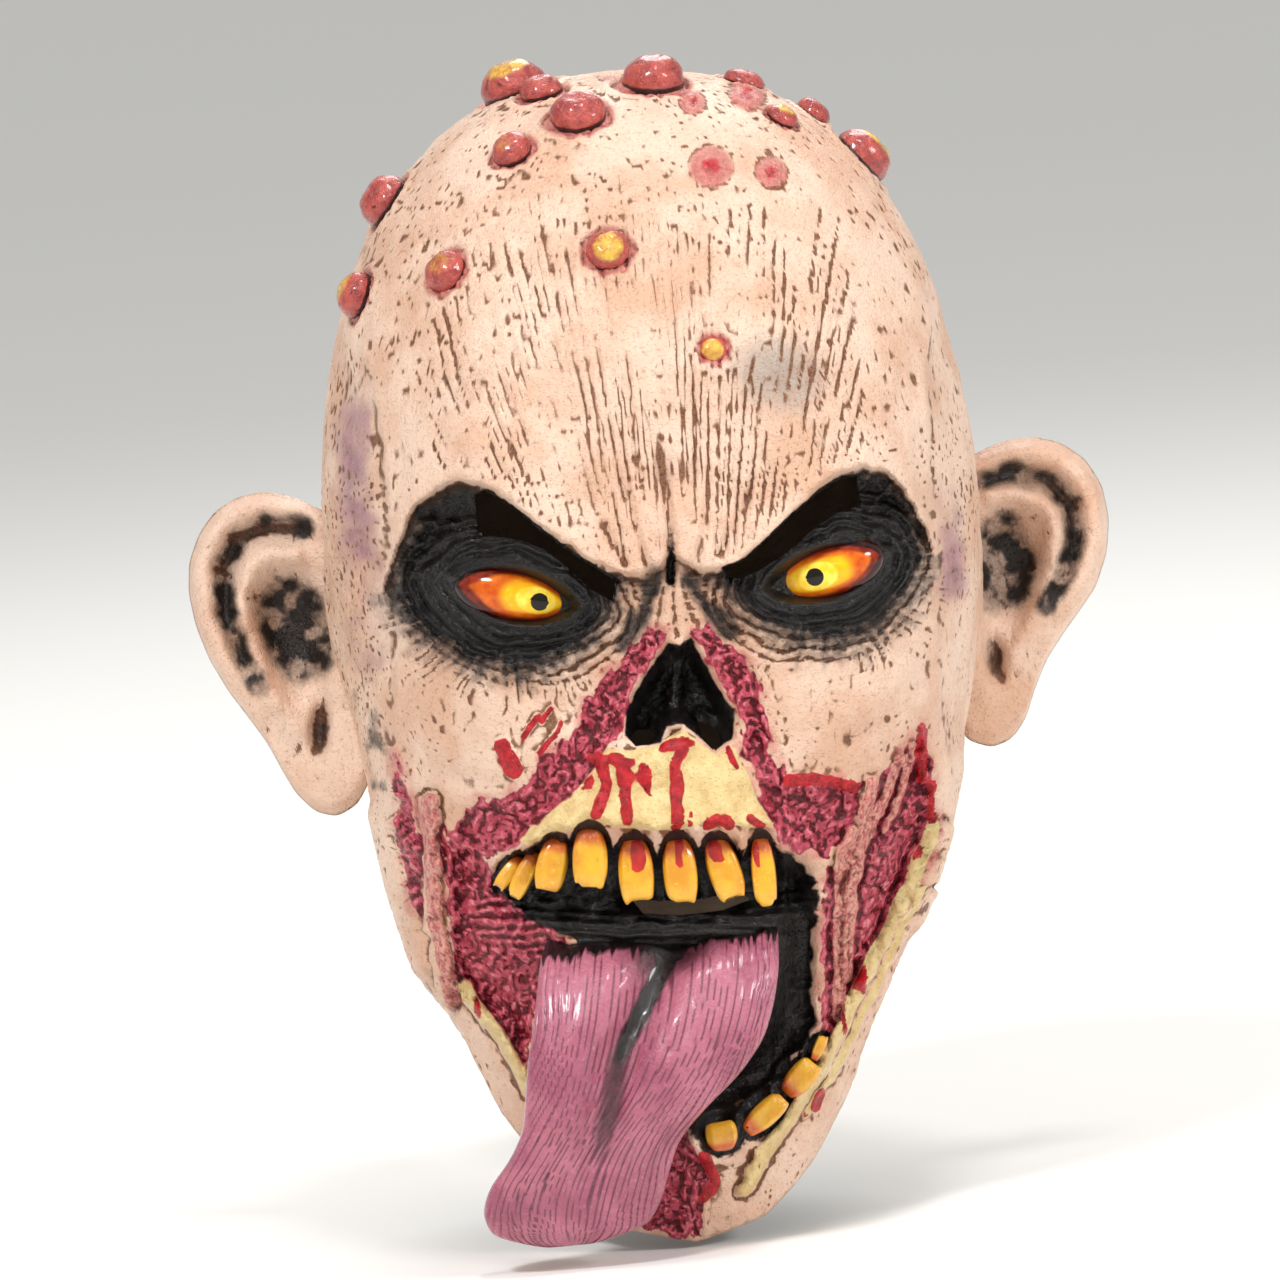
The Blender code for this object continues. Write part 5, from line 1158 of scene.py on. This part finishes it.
angle = np.arange(around) / around * 2 * math.pi
sideAt, heightAt = np.cos(angle), np.sin(angle)
lengthAlong = np.r_[0, np.cumsum(np.hypot(*np.diff((cols[:, :2] + cols[:, 2:4]) / 2, axis=0).T))]
rows, rowMasks = [], []
for n in range(rowsCount):
    lx, ly, rxx, ryy, frontY, grooveShare, grooveDepth, halfThick = cols[n]
    shrink = 0.35 + 0.65 * tipRound[n] if n > rowsCount - 30 else 1.0
    share = 0.5 + 0.5 * sideAt * shrink
    x, y = lx + (rxx - lx) * share, ly + (ryy - ly) * share
    width = math.hypot(rxx - lx, ryy - ly)
    sag = np.sign(heightAt) * np.abs(heightAt) ** 0.62
    acrossMm = sideAt * width / 2
    g = (share - grooveShare) * width
    lift = (halfThick + 1.5 * (heightAt > 0)) * sag * (tipRound[n] ** 0.8 if n > rowsCount - 30 else 1)
    top = smooth(heightAt, 0.0, 0.35)
    lift = lift - 1.8 * grooveDepth * bell(g, 8.5) * top * tipRound[n]
    spot = np.stack([acrossMm / 2.3, np.full(around, lengthAlong[n] / 20), heightAt], -1)
    wander = acrossMm + 1.6 * noise(np.stack([acrossMm / 9, np.full(around, lengthAlong[n] / 15), heightAt * 0], -1), 133)
    lift += top * (0.30 * np.cos(2 * math.pi * wander / 2.1) + 0.26 * np.cos(2 * math.pi * wander / 1.25 + 1.4) * smooth(noise(spot * (0.3, 0.6, 1), 134), -0.4, 0.4) + 0.30 * crests(spot, 131))
    lift += 0.9 * layered(np.stack([acrossMm / 14, np.full(around, lengthAlong[n] / 16), heightAt * 0.3], -1), 2, 135) * top
    halfDepth = frontY + halfThick
    rows.append(placeAt(x, y, halfDepth - lift))
    # painted shade: black at the root and down the groove near it, and a darker tone over the first few centimetres and
    # along the groove
    root = 1 - smooth(lengthAlong[n] + 3 * noise(spot * 3, 137), 1, 12)
    grooveDark = bell(g, 4.5) * (1 - smooth(np.full(around, lengthAlong[n]), 26, 62)) * top
    tongueShade = np.maximum(0.9 * (1 - smooth(np.full(around, lengthAlong[n]), 4, 26)) * (0.35 + bell(g, 14)), 0.85 * bell(g, 6.0) * (1 - smooth(np.full(around, lengthAlong[n]), 60, 100)))
    # painted highlight: paler stripes along the wrinkles on the top
    rowMasks.append(np.stack([np.clip(root + grooveDark, 0, 1), np.clip(tongueShade * top, 0, 1), top * smooth(np.cos(2 * math.pi * acrossMm / 3.1 + 3 * noise(spot, 139)), 0.3, 1) * 0.8], -1))
rows = np.array(rows)
rowMasks = np.array(rowMasks)
clearSelection()
bpy.ops.mesh.primitive_grid_add(x_subdivisions=around, y_subdivisions=rowsCount + 1, size=2)
tongue = bpy.context.object
tongue.name = tongue.data.name = "tongue_sculpt"
sheet = getPoints(tongue) / 1000
columnAt = np.rint((sheet[:, 0] + 1) / 2 * around).astype(int) % around
rowAt = np.rint((1 - sheet[:, 1]) / 2 * (rowsCount + 1)).astype(int)
wrapBall(tongue, rowAt, columnAt, rows, rows[0].mean(axis=0), rows[-1].mean(axis=0) + (rows[-1] - rows[-3]).mean(axis=0) * 0.4)
inner = (rowAt > 0) & (rowAt <= rowsCount)
for index, mask in enumerate(("black", "tongueShade", "ridgeHighlight")):
    values = np.zeros(len(rowAt)) + (rowAt == 0)
    values[inner] = rowMasks[rowAt[inner] - 1, columnAt[inner], index]
    setMask(tongue, mask, values)
bpy.ops.object.mode_set(mode="EDIT")
bpy.ops.mesh.select_all(action="SELECT")
bpy.ops.mesh.remove_doubles(threshold=1e-7)
bpy.ops.mesh.normals_make_consistent(inside=False)
bpy.ops.object.mode_set(mode="OBJECT")
tongue.data.materials.append(tonguePaint)
# painted shade in the tongue's wrinkles and hollows
fineHollow, broadHollow = hollowness(tongue, (3, 30))
setMask(tongue, "hollow", np.clip(fineHollow / 0.10, 0, 1.3))
setMask(tongue, "deep", np.clip(broadHollow / 0.9, 0, 1.2))
smoothFaces(tongue)
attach(tongue, "root")
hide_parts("tongue")
report("tongue made")


# Camera, lights and floor.
target = Vector((-0.0098, -0.050, -0.1776))
backWay = Vector(seenBack)
cosRoll, sinRoll = math.cos(math.radians(view["roll"])), math.sin(math.radians(view["roll"]))
cameraX = Vector(seenRight * cosRoll - seenUp * sinRoll)
cameraY = Vector(seenRight * sinRoll + seenUp * cosRoll)
bpy.ops.object.camera_add()
camera = bpy.context.object
camera.name = "photo_camera"
placing = np.eye(4)
placing[:3, 0], placing[:3, 1], placing[:3, 2] = cameraX, cameraY, backWay
placing[:3, 3] = target + backWay * view["distance"]
camera.matrix_world = Matrix(placing.tolist())
camera.data.sensor_width = 36
camera.data.lens = 36 * view["distance"] / view["frameWidth"]
camera.data.clip_end = 60
camera.data.dof.use_dof = False
bpy.context.scene.camera = camera

studio = {
    "floorSize": 40.0, "worldColour": "F6F6F4", "worldPower": 0.62,
    "lamps": [("key", (-1.1, -1.8, 1.9), 0.55, 50.0), ("fill", (1.9, -1.5, 1.0), 0.6, 26.0), ("back", (0.4, 1.9, 1.6), 1.2, 20.0), ("crown", (0.3, -0.7, 2.4), 0.5, 18.0)],
}
clearSelection()
bpy.ops.mesh.primitive_plane_add(size=studio["floorSize"], location=(0, 0, float(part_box("mask_skin")[0][2]) - 0.0012))
floor = bpy.context.object
floor.name = "studio_floor"
floorPaint, floorTree = newMaterial("Pale studio floor")
floorPlace = addNode(floorTree, "ShaderNodeTexCoord").outputs["Object"]
floorGrain = addNode(floorTree, "ShaderNodeTexNoise", values={"Scale": 3.0, "Detail": 2.0}, links={"Vector": floorPlace}).outputs[0]
floorRough = addNode(floorTree, "ShaderNodeMapRange", values={"To Min": 0.75, "To Max": 0.9}, links={"Value": floorGrain}).outputs[0]
floorShader = addNode(floorTree, "ShaderNodeBsdfPrincipled", values={"Base Color": hexColour("F0EFEC")}, links={"Roughness": floorRough})
addNode(floorTree, "ShaderNodeOutputMaterial", links={"Surface": floorShader.outputs[0]})
floor.data.materials.append(floorPaint)
for name, place, size, power in studio["lamps"]:
    bpy.ops.object.light_add(type="AREA", location=place)
    lamp = bpy.context.object
    lamp.name = f"{name}_light"
    lamp.data.shape = "DISK"
    lamp.data.size = size
    lamp.data.energy = power
    lamp.rotation_euler = (Vector((0, 0, -0.18)) - Vector(place)).to_track_quat("-Z", "Y").to_euler()
sky = bpy.data.worlds.new("studio_sky")
bpy.context.scene.world = sky
sky.use_nodes = True
sky.node_tree.nodes["Background"].inputs["Color"].default_value = hexColour(studio["worldColour"])
sky.node_tree.nodes["Background"].inputs["Strength"].default_value = studio["worldPower"]
bpy.context.scene.view_settings.view_transform = "Standard"
report("studio ready")
